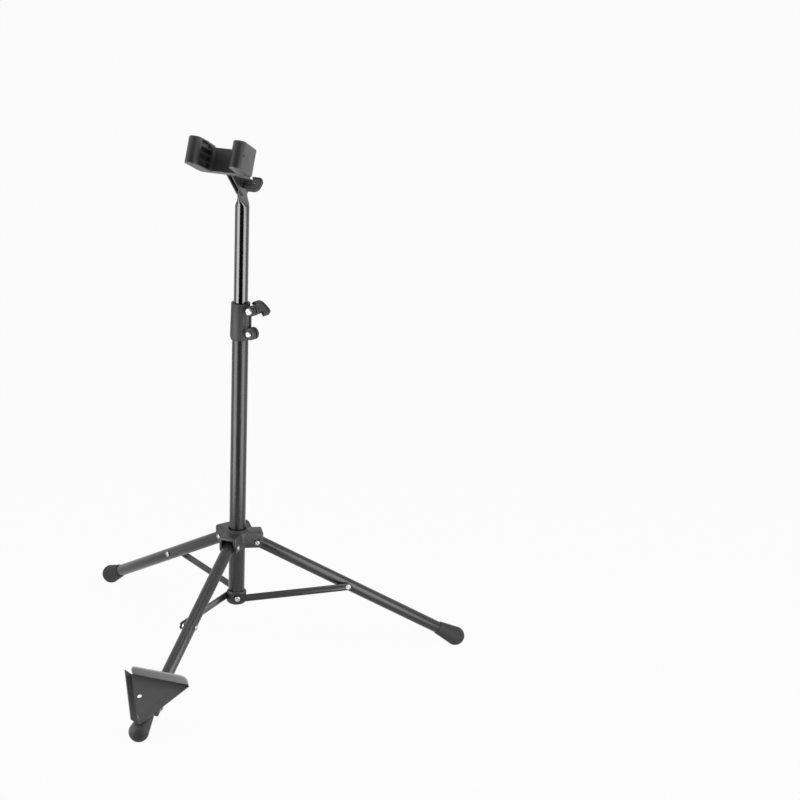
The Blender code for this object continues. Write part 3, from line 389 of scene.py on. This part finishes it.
def frame_along(point, axis, near=Vector((0, 0, 1))):
    """Local frame whose Z runs along an axis, with its X square to a direction."""
    x_axis = near.cross(axis)
    if x_axis.length < 0.001:
        x_axis = Vector((1, 0, 0))
    x_axis.normalize()
    return frame_at(point, x_axis, axis.cross(x_axis))


# %% [markdown]
# ## Moulded and folded parts
#
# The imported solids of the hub, clamp, yoke and brackets already have the right
# outline, but their edges are knife sharp. Real mouldings and deburred sheet
# have small radii that catch the light, so each solid is copied, its loose
# triangles are merged into clean faces, and its edges are rounded.

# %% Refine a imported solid
FLAT_WITHIN = radians(1.5)      # triangles that bend less make one face


def refined(node, width):
    mesh = frame["nodes"][node].data.copy()
    piece = bpy.data.objects.new(node + "_fine", mesh)
    bpy.context.scene.collection.objects.link(piece)
    edit(piece, "VERT")
    bpy.ops.mesh.select_all(action="SELECT")
    bpy.ops.mesh.remove_doubles(threshold=10 * CLOSE)
    bpy.ops.mesh.customdata_custom_splitnormals_clear()
    bpy.ops.mesh.dissolve_limited(angle_limit=FLAT_WITHIN)
    done()
    while mesh.uv_layers:
        mesh.uv_layers.remove(mesh.uv_layers[0])
    round_edges(piece, width)
    return piece


body_of = {}
for body, members in frame["record"]["behaviour"]["bodies"].items():
    for member in members:
        body_of[member] = body

slot_of = {entry["node"]: entry["material_slot"] for entry in frame["record"]["subparts"]}

OWN_FINISH = {"yoke_shell": "yoke_plastic", "bell_tray": "tray_paint"}
CREASED = {"bell_tray": 6}      # smaller angle that keeps the tray's shallow fold a crease


def refine_all(widths):
    for node, width in widths.items():
        piece = refined(node, width)
        settle(piece, node + "_fine", body_of[node], slot_of[node], nodes=(node,),
               angle=CREASED.get(node, SMOOTH_WITHIN))
        if node in OWN_FINISH:
            piece.data.materials[0] = finishes[OWN_FINISH[node]]
        print(node, "has", len(piece.data.polygons), "faces")


refine_all({
    "hub_body": 0.45 * MM,
    "clamp_sleeve": 0.40 * MM,
    "bottom_bracket": 0.40 * MM,
    "yoke_shell": 0.50 * MM,
    "yoke_fork": 0.35 * MM,
    "tray_saddle": 0.50 * MM,
    "bell_tray": 0.35 * MM,
    "clamp_nut": 0.30 * MM,
    "saddle_nut": 0.30 * MM,
    "strut_bar_front": 0.35 * MM,
    "strut_bar_left": 0.35 * MM,
    "strut_bar_right": 0.35 * MM,
})

# %% [markdown]
# ## Tubes
#
# A tube starts as a cylinder. Its two ends are inset by the wall and bridged,
# which makes the bore, and the four rims are rounded as a cut tube is after
# tumbling and painting.

# %% Make a tube
TUBE_SIDES = 72
RIM_ROUNDING = 0.35 * MM


def make_tube(radius, wall, low, high):
    bpy.ops.mesh.primitive_cylinder_add(vertices=TUBE_SIDES, radius=radius, depth=high - low,
                                        location=(0, 0, (high + low) / 2))
    piece = bpy.context.object
    make_active(piece)
    bpy.ops.object.transform_apply(location=True)
    edit(piece)
    pick(piece, "faces", lambda face: len(face.verts) > 4)
    bpy.ops.mesh.inset(thickness=wall)
    bpy.ops.mesh.bridge_edge_loops()
    bpy.ops.mesh.select_mode(type="EDGE")
    pick(piece, "edges", lambda edge: abs(edge.verts[0].co.z - edge.verts[1].co.z) < CLOSE
         and min(abs(middle(edge).z - low), abs(middle(edge).z - high)) < CLOSE
         and abs(edge.verts[0].co.xy.length - edge.verts[1].co.xy.length) < CLOSE)
    bpy.ops.mesh.bevel(offset=RIM_ROUNDING, segments=3)
    done()
    return piece


LOWER_WALL = 1.3 * MM
low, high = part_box("lower_tube")
lower_radius = (high.x - low.x) / 2
lower = make_tube(lower_radius, LOWER_WALL, low.z, high.z)
settle(lower, "lower_tube_round", "pole", "satin_black_paint", Matrix.Translation(POLE), ("lower_tube",))
print("lower tube", round(2 * lower_radius / MM, 2), "mm across")

# %% [markdown]
# The upper tube is pressed flat where the yoke's hinge goes through it. It is
# cut into rings near the top, and each ring is then squeezed by the same easing
# that a press gives, round at the shoulder and flat at the bolt.

# %% Press the top of the upper tube flat
UPPER_RADIUS = 10.8 * MM
TONGUE_THICKNESS = 4.7 * MM
TONGUE_HALF_WIDTH = 15.0 * MM
HINGE = Vector(joints["yoke_tilt"]["pos_m"])
SHOULDER = HINGE.z - 35.0 * MM
FLAT_FROM = HINGE.z - 19.0 * MM
PRESS_RINGS = 22
LAST_RING = 0.5 * MM            # below the tube's end

low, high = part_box("upper_tube")
bpy.ops.mesh.primitive_cylinder_add(vertices=TUBE_SIDES, radius=UPPER_RADIUS, depth=high.z - low.z,
                                    location=(0, 0, (high.z + low.z) / 2))
upper = bpy.context.object
make_active(upper)
bpy.ops.object.transform_apply(location=True)
edit(upper)
for ring in range(PRESS_RINGS + 1):
    height = SHOULDER + (high.z - LAST_RING - SHOULDER) * ring / PRESS_RINGS
    bpy.ops.mesh.select_all(action="SELECT")
    bpy.ops.mesh.bisect(plane_co=(0, 0, height), plane_no=(0, 0, 1))
done()


HIGHEST_RISE = 0.995            # keeps the rounded top from closing to a point
FLAT_SPREAD = 4.0               # how fast the flat sides take up the tube's points


def press(point):
    """Where a point of the round tube goes when the top is flattened."""
    share = min(max((point.z - SHOULDER) / (FLAT_FROM - SHOULDER), 0.0), 1.0)
    ease = (1 - cos(pi * share)) / 2
    turn = atan2(point.y, point.x)
    half_thick = UPPER_RADIUS + (TONGUE_THICKNESS / 2 - UPPER_RADIUS) * ease
    half_wide = UPPER_RADIUS + (TONGUE_HALF_WIDTH - UPPER_RADIUS) * ease
    if point.z > HINGE.z:
        rise = min((point.z - HINGE.z) / TONGUE_HALF_WIDTH, HIGHEST_RISE)
        half_wide = TONGUE_HALF_WIDTH * (1 - rise * rise) ** 0.5
    flat = max(half_wide - half_thick, 0.0)
    end = min(half_thick, half_wide)
    side = flat * max(min(sin(turn) * FLAT_SPREAD, 1.0), -1.0)
    return Vector((half_thick * cos(turn), side + end * sin(turn), point.z))


for vertex in upper.data.vertices:
    vertex.co = press(vertex.co)
settle(upper, "upper_tube_round", "mast", "gloss_black_paint", Matrix.Translation(POLE),
       ("upper_tube",))

# %% [markdown]
# The legs are the same kind of tube. Round the pin that carries the strut the
# wall is pressed in a little on both sides, so the strut can lie close.

# %% Make the legs
LEGS = ("front", "left", "right")
LEG_RADIUS = 9.3 * MM
LEG_WALL = 1.2 * MM
LEG_END = 7.0 * MM              # behind the hinge
LEG_LENGTH = 367.4 * MM         # from the hinge to the middle of the ball foot
FOOT_SEAT = 10.0 * MM           # the tube stops short of the ball's middle
STRUT_PIN = 165.1 * MM          # from the hinge
DENT_LENGTH = 9.0 * MM          # to each side of the pin
DENT_DEPTH = 1.1 * MM
DENT_RINGS = 8


def leg_frame(name):
    """Leg's own frame: X along the tube from the hinge, Y along the hinge's axis."""
    joint = joints[f"leg_{name}_swing"]
    axis = Vector(joint["axis"])
    outward = axis.cross(Vector((0, 0, 1)))
    along = outward * cos(LEG_PITCH) - Vector((0, 0, sin(LEG_PITCH)))
    return frame_at(Vector(joint["pos_m"]), along, axis)


TURN_TO_X = Matrix.Rotation(pi / 2, 4, "Y")


def dent(point):
    """Pushes a leg's side walls in round the strut's pin."""
    near = max(1 - (abs(point.x - STRUT_PIN) / DENT_LENGTH) ** 2, 0.0)
    room = LEG_RADIUS - DENT_DEPTH * near
    return Vector((point.x, max(min(point.y, room), -room), point.z))


for name in LEGS:
    leg = make_tube(LEG_RADIUS, LEG_WALL, -LEG_END, LEG_LENGTH - FOOT_SEAT)
    edit(leg)
    for ring in range(-DENT_RINGS, DENT_RINGS + 1):
        bpy.ops.mesh.select_all(action="SELECT")
        bpy.ops.mesh.bisect(plane_co=(0, 0, STRUT_PIN + DENT_LENGTH * ring / DENT_RINGS),
                            plane_no=(0, 0, 1))
    done()
    leg.matrix_world = TURN_TO_X
    make_active(leg)
    bpy.ops.object.transform_apply(rotation=True)
    for vertex in leg.data.vertices:
        vertex.co = dent(vertex.co)
    settle(leg, f"leg_tube_{name}_round", f"leg_{name}", "satin_black_paint", leg_frame(name),
           (f"leg_tube_{name}",))

# %% [markdown]
# ## Feet
#
# Each foot is a rubber cap: a cone that grips the tube and swells into the ball
# that stands on the floor. The ball is a UV sphere. It is opened where the cone
# leaves it, and the open rim is extruded back along the leg to the cone's mouth,
# turned in for the wall and closed inside.

# %% Make the rubber feet
FOOT_RADIUS = 15.0 * MM
FOOT_FLAT = 0.8 * MM
SLEEVE_RADIUS = 10.25 * MM
SLEEVE_LENGTH = 33.0 * MM
BORE = 9.6 * MM
MOUTH_ROUNDING = 0.3 * MM
MOULD_LINE = 0.12 * MM          # step where the ball meets the cone
CONE_FROM = 2.2 * MM            # past the middle of the ball, towards the tube
STRAIGHT_FROM = 4.0 * MM        # the cone is straight but for this much at its ends
GAP = 0.3 * MM                  # between pieces that touch


def ring_step(radius_from, radius_to, height):
    """Extrudes the selected rim to a new radius and along the axis."""
    scale = radius_to / radius_from
    bpy.ops.mesh.extrude_region_move(TRANSFORM_OT_translate={"value": (0, 0, height)})
    bpy.ops.transform.resize(value=(scale, scale, 1.0))


def make_foot():
    bpy.ops.mesh.primitive_uv_sphere_add(segments=64, ring_count=48, radius=FOOT_RADIUS)
    piece = bpy.context.object
    edit(piece)
    pick(piece, "faces", lambda face: face.calc_center_median().z > CONE_FROM)
    bpy.ops.mesh.delete(type="FACE")
    bpy.ops.mesh.select_mode(type="EDGE")
    pick(piece, "edges", lambda edge: edge.is_boundary)
    rim = max(vertex.co.z for vertex in bmesh.from_edit_mesh(piece.data).verts)
    rim_radius = (FOOT_RADIUS ** 2 - rim ** 2) ** 0.5
    slope = (rim_radius - SLEEVE_RADIUS) / (SLEEVE_LENGTH - rim)
    steps = [
        (rim_radius - MOULD_LINE, rim + 2 * MOULD_LINE),
        (rim_radius - MOULD_LINE - slope * STRAIGHT_FROM, rim + STRAIGHT_FROM),
        (SLEEVE_RADIUS + slope * STRAIGHT_FROM, SLEEVE_LENGTH - STRAIGHT_FROM),
        (SLEEVE_RADIUS, SLEEVE_LENGTH - MOUTH_ROUNDING),
        (SLEEVE_RADIUS - MOUTH_ROUNDING, SLEEVE_LENGTH),
        (BORE, SLEEVE_LENGTH),
        (BORE, FOOT_SEAT - GAP),
    ]
    radius = rim_radius
    height = rim
    for next_radius, next_height in steps:
        ring_step(radius, next_radius, next_height - height)
        radius = next_radius
        height = next_height
    bpy.ops.mesh.edge_face_add()
    done()
    return piece


for name in LEGS:
    foot = make_foot()
    foot.matrix_world = Matrix.Translation((LEG_LENGTH, 0, 0)) @ Matrix.Rotation(-pi / 2, 4, "Y")
    make_active(foot)
    bpy.ops.object.transform_apply(location=True, rotation=True)
    edit(foot)
    bpy.ops.mesh.select_all(action="SELECT")
    down = Vector((sin(LEG_PITCH), 0, -cos(LEG_PITCH)))
    floor_point = Vector((LEG_LENGTH, 0, 0)) + down * (FOOT_RADIUS - FOOT_FLAT)
    bpy.ops.mesh.bisect(plane_co=floor_point, plane_no=down, use_fill=True, clear_outer=True)
    done()
    settle(foot, f"foot_cap_{name}_round", f"leg_{name}", "black_rubber", leg_frame(name),
           (f"foot_cap_{name}",), angle=50)

# %% [markdown]
# ## Rivets and screws
#
# A rivet's head starts as a thin cylinder. Its top is inset and pushed down for
# the hollow that the setting tool leaves, and the rim is bevelled round. Screws
# are made the same way, with a cross pressed into the head.

# %% Make rivet and screw heads
STUD_SIDES = 40
HOLLOW_SHARE = 0.42             # of the head's radius
HOLLOW_DEPTH_SHARE = 0.75       # of its rise
HOLLOW_TAPER = 0.8
HOLLOW_ROUNDING = 0.18 * MM
DOME_SHARE = 0.85               # of the rise that the edge's rounding takes
DOME_LIMIT = 0.4                # and at most this share of the radius


def make_stud(head, rise, shank, length, hollow):
    """Head on z = 0 with its shank down -Z, both from one cylinder."""
    bpy.ops.mesh.primitive_cylinder_add(vertices=STUD_SIDES, radius=head, depth=rise,
                                        location=(0, 0, rise / 2))
    piece = bpy.context.object
    make_active(piece)
    bpy.ops.object.transform_apply(location=True)
    edit(piece)
    pick(piece, "faces", lambda face: face.normal.z < -0.9)
    bpy.ops.mesh.inset(thickness=head - shank)
    bpy.ops.mesh.extrude_region_move(TRANSFORM_OT_translate={"value": (0, 0, -length)})
    pick(piece, "faces", lambda face: face.normal.z > 0.9)
    if hollow:
        bpy.ops.mesh.inset(thickness=head - hollow)
        bpy.ops.mesh.extrude_region_move(
            TRANSFORM_OT_translate={"value": (0, 0, -rise * HOLLOW_DEPTH_SHARE)})
        bpy.ops.transform.resize(value=(HOLLOW_TAPER, HOLLOW_TAPER, 1.0))
    bpy.ops.mesh.select_mode(type="EDGE")

    def on_top(edge):
        return all(abs(vertex.co.z - rise) < CLOSE for vertex in edge.verts)

    pick(piece, "edges", lambda edge: on_top(edge) and edge.verts[0].co.xy.length > head * 0.95)
    bpy.ops.mesh.bevel(offset=min(rise * DOME_SHARE, head * DOME_LIMIT), segments=5)
    if hollow:
        pick(piece, "edges", lambda edge: on_top(edge) and edge.verts[0].co.xy.length < hollow * 1.02)
        bpy.ops.mesh.bevel(offset=HOLLOW_ROUNDING, segments=2)
    done()
    return piece


CROSS_WIDTH = 1.1 * MM
CROSS_LENGTH_SHARE = 1.1        # of the head's radius
CROSS_DEPTH_SHARE = 0.55        # of its rise
CROSS_TAPER = 0.45              # share of the cross left at its bottom


def press_cross(piece, head, rise):
    """Cross recess in a screw's head, from two tapered blades."""
    for turn in (0, pi / 2):
        bpy.ops.mesh.primitive_cube_add(size=1.0, location=(0, 0, rise), rotation=(0, 0, turn))
        blade = bpy.context.object
        blade.scale = (head * CROSS_LENGTH_SHARE, CROSS_WIDTH, rise * 2 * CROSS_DEPTH_SHARE)
        make_active(blade)
        bpy.ops.object.transform_apply(location=True, rotation=True, scale=True)
        edit(blade)
        pick(blade, "faces", lambda face: face.normal.z < -0.9)
        bpy.ops.transform.resize(value=(CROSS_TAPER, CROSS_TAPER, 1.0))
        done()
        cut(piece, blade)


def add_stud(name, body, point, axis, head, rise, shank, length, nodes, cross=False, hollow=True):
    stud = make_stud(head, rise, shank, length, head * HOLLOW_SHARE if hollow else 0.0)
    if cross:
        press_cross(stud, head, rise)
    return settle(stud, name, body, "zinc_steel", frame_along(point, axis), nodes)


RIVET_RISE = 1.6 * MM
HUB_RIVET = 3.7 * MM
STRUT_RIVET = 4.2 * MM
PIN_RADIUS = 2.4 * MM
HUB_PIN = 2.5 * MM
HUB_HALF = 14.3 * MM            # half the width of the hub's arm
STRUT_FACE = 13.0 * MM          # the strut's near face, from the leg's middle
STRUT_OUT = 15.3 * MM           # where its rivet's head sits
STRUT_SHANK = 2.3 * MM
BRACKET_PIN_END = 5.5 * MM      # where the bracket's pins end, from its middle

for name in LEGS:
    place = leg_frame(name)
    axis = place.to_3x3() @ Vector((0, 1, 0))
    hinge = place.translation
    add_stud(f"hub_rivet_{name}_a", "hub", hinge + axis * HUB_HALF, axis, HUB_RIVET, RIVET_RISE,
             HUB_PIN, HUB_HALF, (f"hub_rivet_{name}",))
    add_stud(f"hub_rivet_{name}_b", "hub", hinge - axis * HUB_HALF, -axis, HUB_RIVET, RIVET_RISE,
             HUB_PIN, HUB_HALF - GAP, ())
    pin = place @ Vector((STRUT_PIN, 0, 0))
    add_stud(f"leg_pin_{name}_a", f"leg_{name}", pin + axis * (LEG_RADIUS + GAP), axis, STRUT_RIVET,
             RIVET_RISE, PIN_RADIUS, LEG_RADIUS, (f"leg_pin_{name}",))
    collar = STRUT_FACE - GAP - LEG_RADIUS - GAP
    add_stud(f"leg_pin_{name}_b", f"leg_{name}", pin - axis * (LEG_RADIUS + GAP), -axis, STRUT_RIVET,
             collar, PIN_RADIUS, LEG_RADIUS, (), hollow=False)
    add_stud(f"strut_rivet_{name}_round", f"strut_{name}", pin - axis * STRUT_OUT, -axis, STRUT_RIVET,
             RIVET_RISE, PIN_RADIUS, STRUT_SHANK, (f"strut_rivet_{name}",))
    foot_pin = Vector(joints[f"strut_{name}_swing"]["pos_m"])
    add_stud(f"bracket_rivet_{name}_round", "pole", foot_pin - axis * STRUT_OUT, -axis, STRUT_RIVET,
             RIVET_RISE, PIN_RADIUS, STRUT_OUT - BRACKET_PIN_END, (f"bracket_rivet_{name}",))

# %% Screws of the clamp, fork, hinge and saddle
SCREW_RADIUS = 2.5 * MM
SCREW_HEAD_RISE = 3.6 * MM
CLAMP_BOLT_HEAD = 5.6 * MM
CLAMP_SCREW_HEAD = 4.8 * MM
SADDLE_BOLT_HEAD = 4.8 * MM
YOKE_BOLT_HEAD = 6.2 * MM
FORK_SCREW_HEAD = 3.6 * MM
FORK_SCREW_RADIUS = 2.0 * MM
YOKE_TILT = radians(24.2)       # jaws above the horizontal


def add_screw(node, axis, head, rise, shank):
    """A screw in place of a packed one, placed by that one's box."""
    corners = frame["nodes"][node].data.vertices
    along = [vertex.co.dot(axis) for vertex in corners]
    centre = sum(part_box(node), Vector()) / 2
    across = centre - axis * centre.dot(axis)
    tip = max(along) - rise
    add_stud(node + "_round", body_of[node], across + axis * tip, axis, head, rise, shank,
             tip - min(along), (node,), cross=True, hollow=False)


clamp_axis = Vector(joints["clamp_knob_turn"]["axis"]).normalized()
leg_side = leg_frame("front").to_3x3() @ Vector((0, 1, 0))
yoke_back = Vector((0, cos(YOKE_TILT), -sin(YOKE_TILT)))
add_screw("clamp_bolt", -clamp_axis, CLAMP_BOLT_HEAD, SCREW_HEAD_RISE, SCREW_RADIUS)
add_screw("clamp_screw", -clamp_axis, CLAMP_SCREW_HEAD, SCREW_HEAD_RISE, SCREW_RADIUS)
add_screw("saddle_bolt", -leg_side, SADDLE_BOLT_HEAD, SCREW_HEAD_RISE, SCREW_RADIUS)
add_screw("yoke_bolt", Vector((-1, 0, 0)), YOKE_BOLT_HEAD, SCREW_HEAD_RISE, SCREW_RADIUS)
for side in ("left", "right"):
    add_screw(f"fork_screw_{side}", yoke_back, FORK_SCREW_HEAD, RIVET_RISE, FORK_SCREW_RADIUS)

# %% [markdown]
# ## Wing knobs
#
# The three knobs are one moulding: a ribbed hub, and a crescent wing whose tips
# reach back past a short neck. The wing is a cube with its outer corners bevelled
# round and its inner edge pulled up in the middle. Hub, neck and wing are joined
# and remeshed into one skin, and smoothing leaves a moulding's soft fillets.

# %% Make a wing knob
KNOB_HUB_RADIUS = 7.6 * MM
KNOB_HUB_LENGTH = 8.5 * MM
KNOB_RIBS = 12
KNOB_RIB_HEIGHT = 0.5 * MM
KNOB_RIB_SLOPE = 0.2 * MM
NECK_SIDES = 32                 # of the neck and the screw
NECK_HALF = 4.8 * MM
NECK_FLATNESS = 0.7            # its thickness as a share of its width
NECK_INTO_WING = 2.0 * MM
WING_HALF_WIDTH = 14.0 * MM
WING_TIPS = 6.0 * MM            # from the hub's base, as the next two
WING_INSIDE = 11.5 * MM
WING_REACH = 25.5 * MM
WING_CORNER = 8.5 * MM
WING_THICKNESS = 4.8 * MM
WING_RIM = 2.4 * MM
WING_RIM_SLOPE = 0.8 * MM
WING_DISH = 1.1 * MM
SCREW_INTO_HUB = 3.0 * MM
KNOB_VOXEL = 0.30 * MM
KNOB_FACES_KEPT = 0.35


def make_knob_hub():
    bpy.ops.mesh.primitive_cylinder_add(vertices=4 * KNOB_RIBS, radius=KNOB_HUB_RADIUS - KNOB_RIB_HEIGHT,
                                        depth=KNOB_HUB_LENGTH, location=(0, 0, KNOB_HUB_LENGTH / 2))
    hub = bpy.context.object
    make_active(hub)
    bpy.ops.object.transform_apply(location=True)
    edit(hub)

    def on_rib(face):
        centre = face.calc_center_median()
        if abs(face.normal.z) > 0.5:
            return False
        around = (atan2(centre.y, centre.x) / (2 * pi) * KNOB_RIBS) % 1.0
        return around < 0.5

    pick(hub, "faces", on_rib)
    bpy.ops.mesh.inset(thickness=KNOB_RIB_SLOPE, depth=KNOB_RIB_HEIGHT)
    done()
    return hub


def make_wing():
    """Crescent in the XZ plane, with a rim round a dished face on each side."""
    tall = WING_REACH - WING_TIPS
    bpy.ops.mesh.primitive_cube_add(size=1.0, location=(0, 0, WING_TIPS + tall / 2))
    wing = bpy.context.object
    wing.scale = (2 * WING_HALF_WIDTH, WING_THICKNESS, tall)
    make_active(wing)
    bpy.ops.object.transform_apply(location=True, scale=True)
    edit(wing, "EDGE")
    pick(wing, "edges", lambda edge: abs(abs(middle(edge).x) - WING_HALF_WIDTH) < CLOSE
         and abs(middle(edge).z - WING_REACH) < CLOSE)
    bpy.ops.mesh.bevel(offset=WING_CORNER, segments=10)
    bpy.ops.mesh.select_all(action="SELECT")
    bpy.ops.mesh.bisect(plane_co=(0, 0, 0), plane_no=(1, 0, 0))
    bpy.ops.mesh.select_mode(type="VERT")
    pick(wing, "verts", lambda vertex: abs(vertex.co.x) < CLOSE and abs(vertex.co.z - WING_TIPS) < CLOSE)
    bpy.ops.transform.translate(value=(0, 0, WING_INSIDE - WING_TIPS))
    bpy.ops.mesh.select_mode(type="FACE")
    pick(wing, "faces", lambda face: abs(face.normal.y) > 0.9)
    bpy.ops.mesh.inset(thickness=WING_RIM)
    bpy.ops.mesh.inset(thickness=WING_RIM_SLOPE, depth=-WING_DISH)
    done()
    return wing


def make_knob(screw_length=0.0):
    hub = make_knob_hub()
    low = KNOB_HUB_LENGTH / 2
    high = WING_INSIDE + NECK_INTO_WING
    bpy.ops.mesh.primitive_cylinder_add(vertices=NECK_SIDES, radius=NECK_HALF, depth=high - low,
                                        location=(0, 0, (high + low) / 2))
    neck = bpy.context.object
    neck.scale = (1.0, NECK_FLATNESS, 1.0)
    make_active(neck)
    bpy.ops.object.transform_apply(location=True, scale=True)
    shapes = [hub, make_wing(), neck]
    if screw_length:
        bpy.ops.mesh.primitive_cylinder_add(vertices=NECK_SIDES, radius=SCREW_RADIUS,
                                            depth=screw_length + SCREW_INTO_HUB,
                                            location=(0, 0, (SCREW_INTO_HUB - screw_length) / 2))
        shapes.append(bpy.context.object)
    deselect()
    for shape in shapes:
        shape.select_set(True)
    bpy.context.view_layer.objects.active = hub
    bpy.ops.object.join()
    bpy.ops.object.transform_apply(location=True, rotation=True, scale=True)
    apply_modifier(hub, "REMESH", mode="VOXEL", voxel_size=KNOB_VOXEL)
    apply_modifier(hub, "SMOOTH", factor=0.5, iterations=4)
    apply_modifier(hub, "DECIMATE", decimate_type="COLLAPSE", ratio=KNOB_FACES_KEPT)
    return hub


HUB_SCREW = 12.5 * MM
KNOB_TURNS = {"clamp_knob": radians(34), "yoke_knob": radians(120), "hub_knob": radians(62)}


def knob_frame(node):
    """The knob's frame as the model turns it: Z along the joint's axis."""
    joint = joints[node + "_turn"]
    axis = Vector(joint["axis"]).normalized()
    if node == "yoke_knob":
        start = frame_at(Vector(joint["pos_m"]), Vector((0, 0, -1)), Vector((0, 1, 0)))
    else:
        start = frame_at(Vector(joint["pos_m"]), axis.cross(Vector((0, 0, 1))), Vector((0, 0, -1)))
    return start @ Matrix.Rotation(KNOB_TURNS[node], 4, "Z")


for node in KNOB_TURNS:
    knob = make_knob(HUB_SCREW if node == "hub_knob" else 0.0)
    settle(knob, node + "_moulded", body_of[node], "black_plastic", knob_frame(node), (node,), angle=60)
    print(node, "has", len(knob.data.polygons), "faces")

# %% [markdown]
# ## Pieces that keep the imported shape
#
# The guide bush is out of sight inside the lower tube, so it keeps its packed
# solid and only gets its finish.

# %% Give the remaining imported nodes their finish
for node, piece in frame["nodes"].items():
    piece.data.materials.clear()
    piece.data.materials.append(finishes[slot_of[node]])

# %% [markdown]
# ## Studio
#
# The stand is photographed on white. The world and the floor are white to the
# camera and to reflections, while the light that reaches the stand stays at a
# plain level. Only the open room at the front mirrors dark, as it does in a
# studio. Black gloss paint shows little but what it mirrors, so two panels stand
# left and right of the pole with a black flag between them, and a third panel
# hangs overhead. They light nothing and only draw the streaks on the tubes, and
# soft boxes light the stand.

# %% White world and pale floor
AMBIENT = 0.22
ROOM_DARK = 0.06                # what the open room mirrors
ROOM_AZIMUTH = radians(12.0)    # middle of the open room, from the front leg
ROOM_EDGE = (0.25, 0.75)        # cosines between which the room turns dark

room = (sin(ROOM_AZIMUTH), -cos(ROOM_AZIMUTH), 0.0)
world = bpy.data.worlds.new("studio")
bpy.context.scene.world = world
world.use_nodes = True
tree = world.node_tree
tree.nodes.clear()
rays = tree.nodes.new("ShaderNodeLightPath")
seen = Flow(tree, rays.outputs["Is Camera Ray"])
seen = seen.maths("MAXIMUM", seen, Flow(tree, rays.outputs["Is Transmission Ray"]))
towards = add_node(tree, "ShaderNodeTexCoord", {}, {}, output=0)
facing = add_node(tree, "ShaderNodeVectorMath", {"operation": "DOT_PRODUCT"},
                  {0: towards, 1: room}, output=1)
mirrored = facing.between(*ROOM_EDGE, 1.0 - AMBIENT, ROOM_DARK - AMBIENT)
strength = seen * (1.0 - AMBIENT) + Flow(tree, rays.outputs["Is Glossy Ray"]) * mirrored + AMBIENT
sky = add_node(tree, "ShaderNodeBackground", {}, {"Color": (1, 1, 1, 1), "Strength": strength})
output = tree.nodes.new("ShaderNodeOutputWorld")
tree.links.new(sky.socket, output.inputs["Surface"])

FLOOR_HALF = 9.0
FLOOR_GLOW = 0.95               # share of plain white in what the camera and mirrors see
bpy.ops.mesh.primitive_plane_add(size=2 * FLOOR_HALF, location=(0, 0, 0))
floor = bpy.context.object
floor.name = "floor"
paper = bpy.data.materials.new("white_paper")
paper.use_nodes = True
tree = paper.node_tree
shader = tree.nodes["Principled BSDF"]
shader.inputs["Base Color"].default_value = grey(0.86)
shader.inputs["Roughness"].default_value = 0.9
rays = tree.nodes.new("ShaderNodeLightPath")
seen = Flow(tree, rays.outputs["Is Camera Ray"])
seen = seen.maths("MAXIMUM", seen, Flow(tree, rays.outputs["Is Glossy Ray"]))
glow = add_node(tree, "ShaderNodeEmission", {}, {"Color": (1, 1, 1, 1), "Strength": 1.0})
blend = add_node(tree, "ShaderNodeMixShader", {}, {0: seen * FLOOR_GLOW, 2: glow})
tree.links.new(shader.outputs[0], blend.socket.node.inputs[1])
tree.links.new(blend.socket, tree.nodes["Material Output"].inputs["Surface"])
floor.data.materials.append(paper)


# %% Soft boxes and mirror panels
def soft_box(name, azimuth, distance, aim_height, height, width, tall, radiance):
    """Rectangular lamp that faces the pole, with its brightness as a radiance."""
    lamp = bpy.data.lights.new(name, "AREA")
    lamp.shape = "RECTANGLE"
    lamp.size = width
    lamp.size_y = tall
    lamp.energy = radiance * pi * width * tall
    box = bpy.data.objects.new(name, lamp)
    bpy.context.scene.collection.objects.link(box)
    turn = radians(azimuth)
    box.location = POLE + Vector((sin(turn) * distance, -cos(turn) * distance, height))
    towards = POLE + Vector((0, 0, aim_height)) - box.location
    box.rotation_euler = towards.to_track_quat("-Z", "Y").to_euler()
    box.visible_camera = False
    return box


PANEL_TALL = 0.60
PANEL_WIDTH = 0.44
PANEL_DISTANCE = 0.56
FLAG_AZIMUTH = radians(19.0)
FLAG_WIDTH = 0.72
OVERHEAD = 2.2                  # height of the lamps over the stand

for name, azimuth, radiance in (("left_panel", -35.0, 5.5), ("right_panel", 73.0, 4.8)):
    panel = soft_box(name, azimuth, distance=PANEL_DISTANCE, aim_height=PANEL_TALL / 2,
                     height=PANEL_TALL / 2, width=PANEL_WIDTH, tall=PANEL_TALL, radiance=radiance)
    panel.visible_diffuse = False
panel = soft_box("overhead_panel", 180.0, distance=0.2, aim_height=0.20,
                 height=OVERHEAD, width=0.4, tall=0.8, radiance=3.0)
panel.visible_diffuse = False

for name, azimuth, radiance in (("left_box", -48.0, 1.5), ("right_box", 80.0, 1.7)):
    lamp = soft_box(name, azimuth, distance=1.9, aim_height=0.40,
                    height=1.0, width=1.3, tall=1.6, radiance=radiance)
    lamp.visible_glossy = False
lamp = soft_box("top_box", 25.0, distance=0.5, aim_height=0.40,
                height=OVERHEAD, width=1.2, tall=1.2, radiance=1.0)
lamp.visible_glossy = False

towards = Vector((sin(FLAG_AZIMUTH), -cos(FLAG_AZIMUTH), 0))
flag_place = POLE + towards * PANEL_DISTANCE + Vector((0, 0, PANEL_TALL / 2))
bpy.ops.mesh.primitive_plane_add(size=1.0, rotation=(pi / 2, 0, FLAG_AZIMUTH), location=flag_place)
flag = bpy.context.object
flag.name = "black_flag"
flag.scale = (FLAG_WIDTH, PANEL_TALL, 1.0)
cloth = bpy.data.materials.new("black_flag")
cloth.use_nodes = True
shader = cloth.node_tree.nodes["Principled BSDF"]
shader.inputs["Base Color"].default_value = grey(0.004)
shader.inputs["Specular IOR Level"].default_value = 0.0
flag.data.materials.append(cloth)
flag.visible_camera = False
flag.visible_diffuse = False
flag.visible_shadow = False

bpy.context.scene.view_settings.view_transform = "Standard"
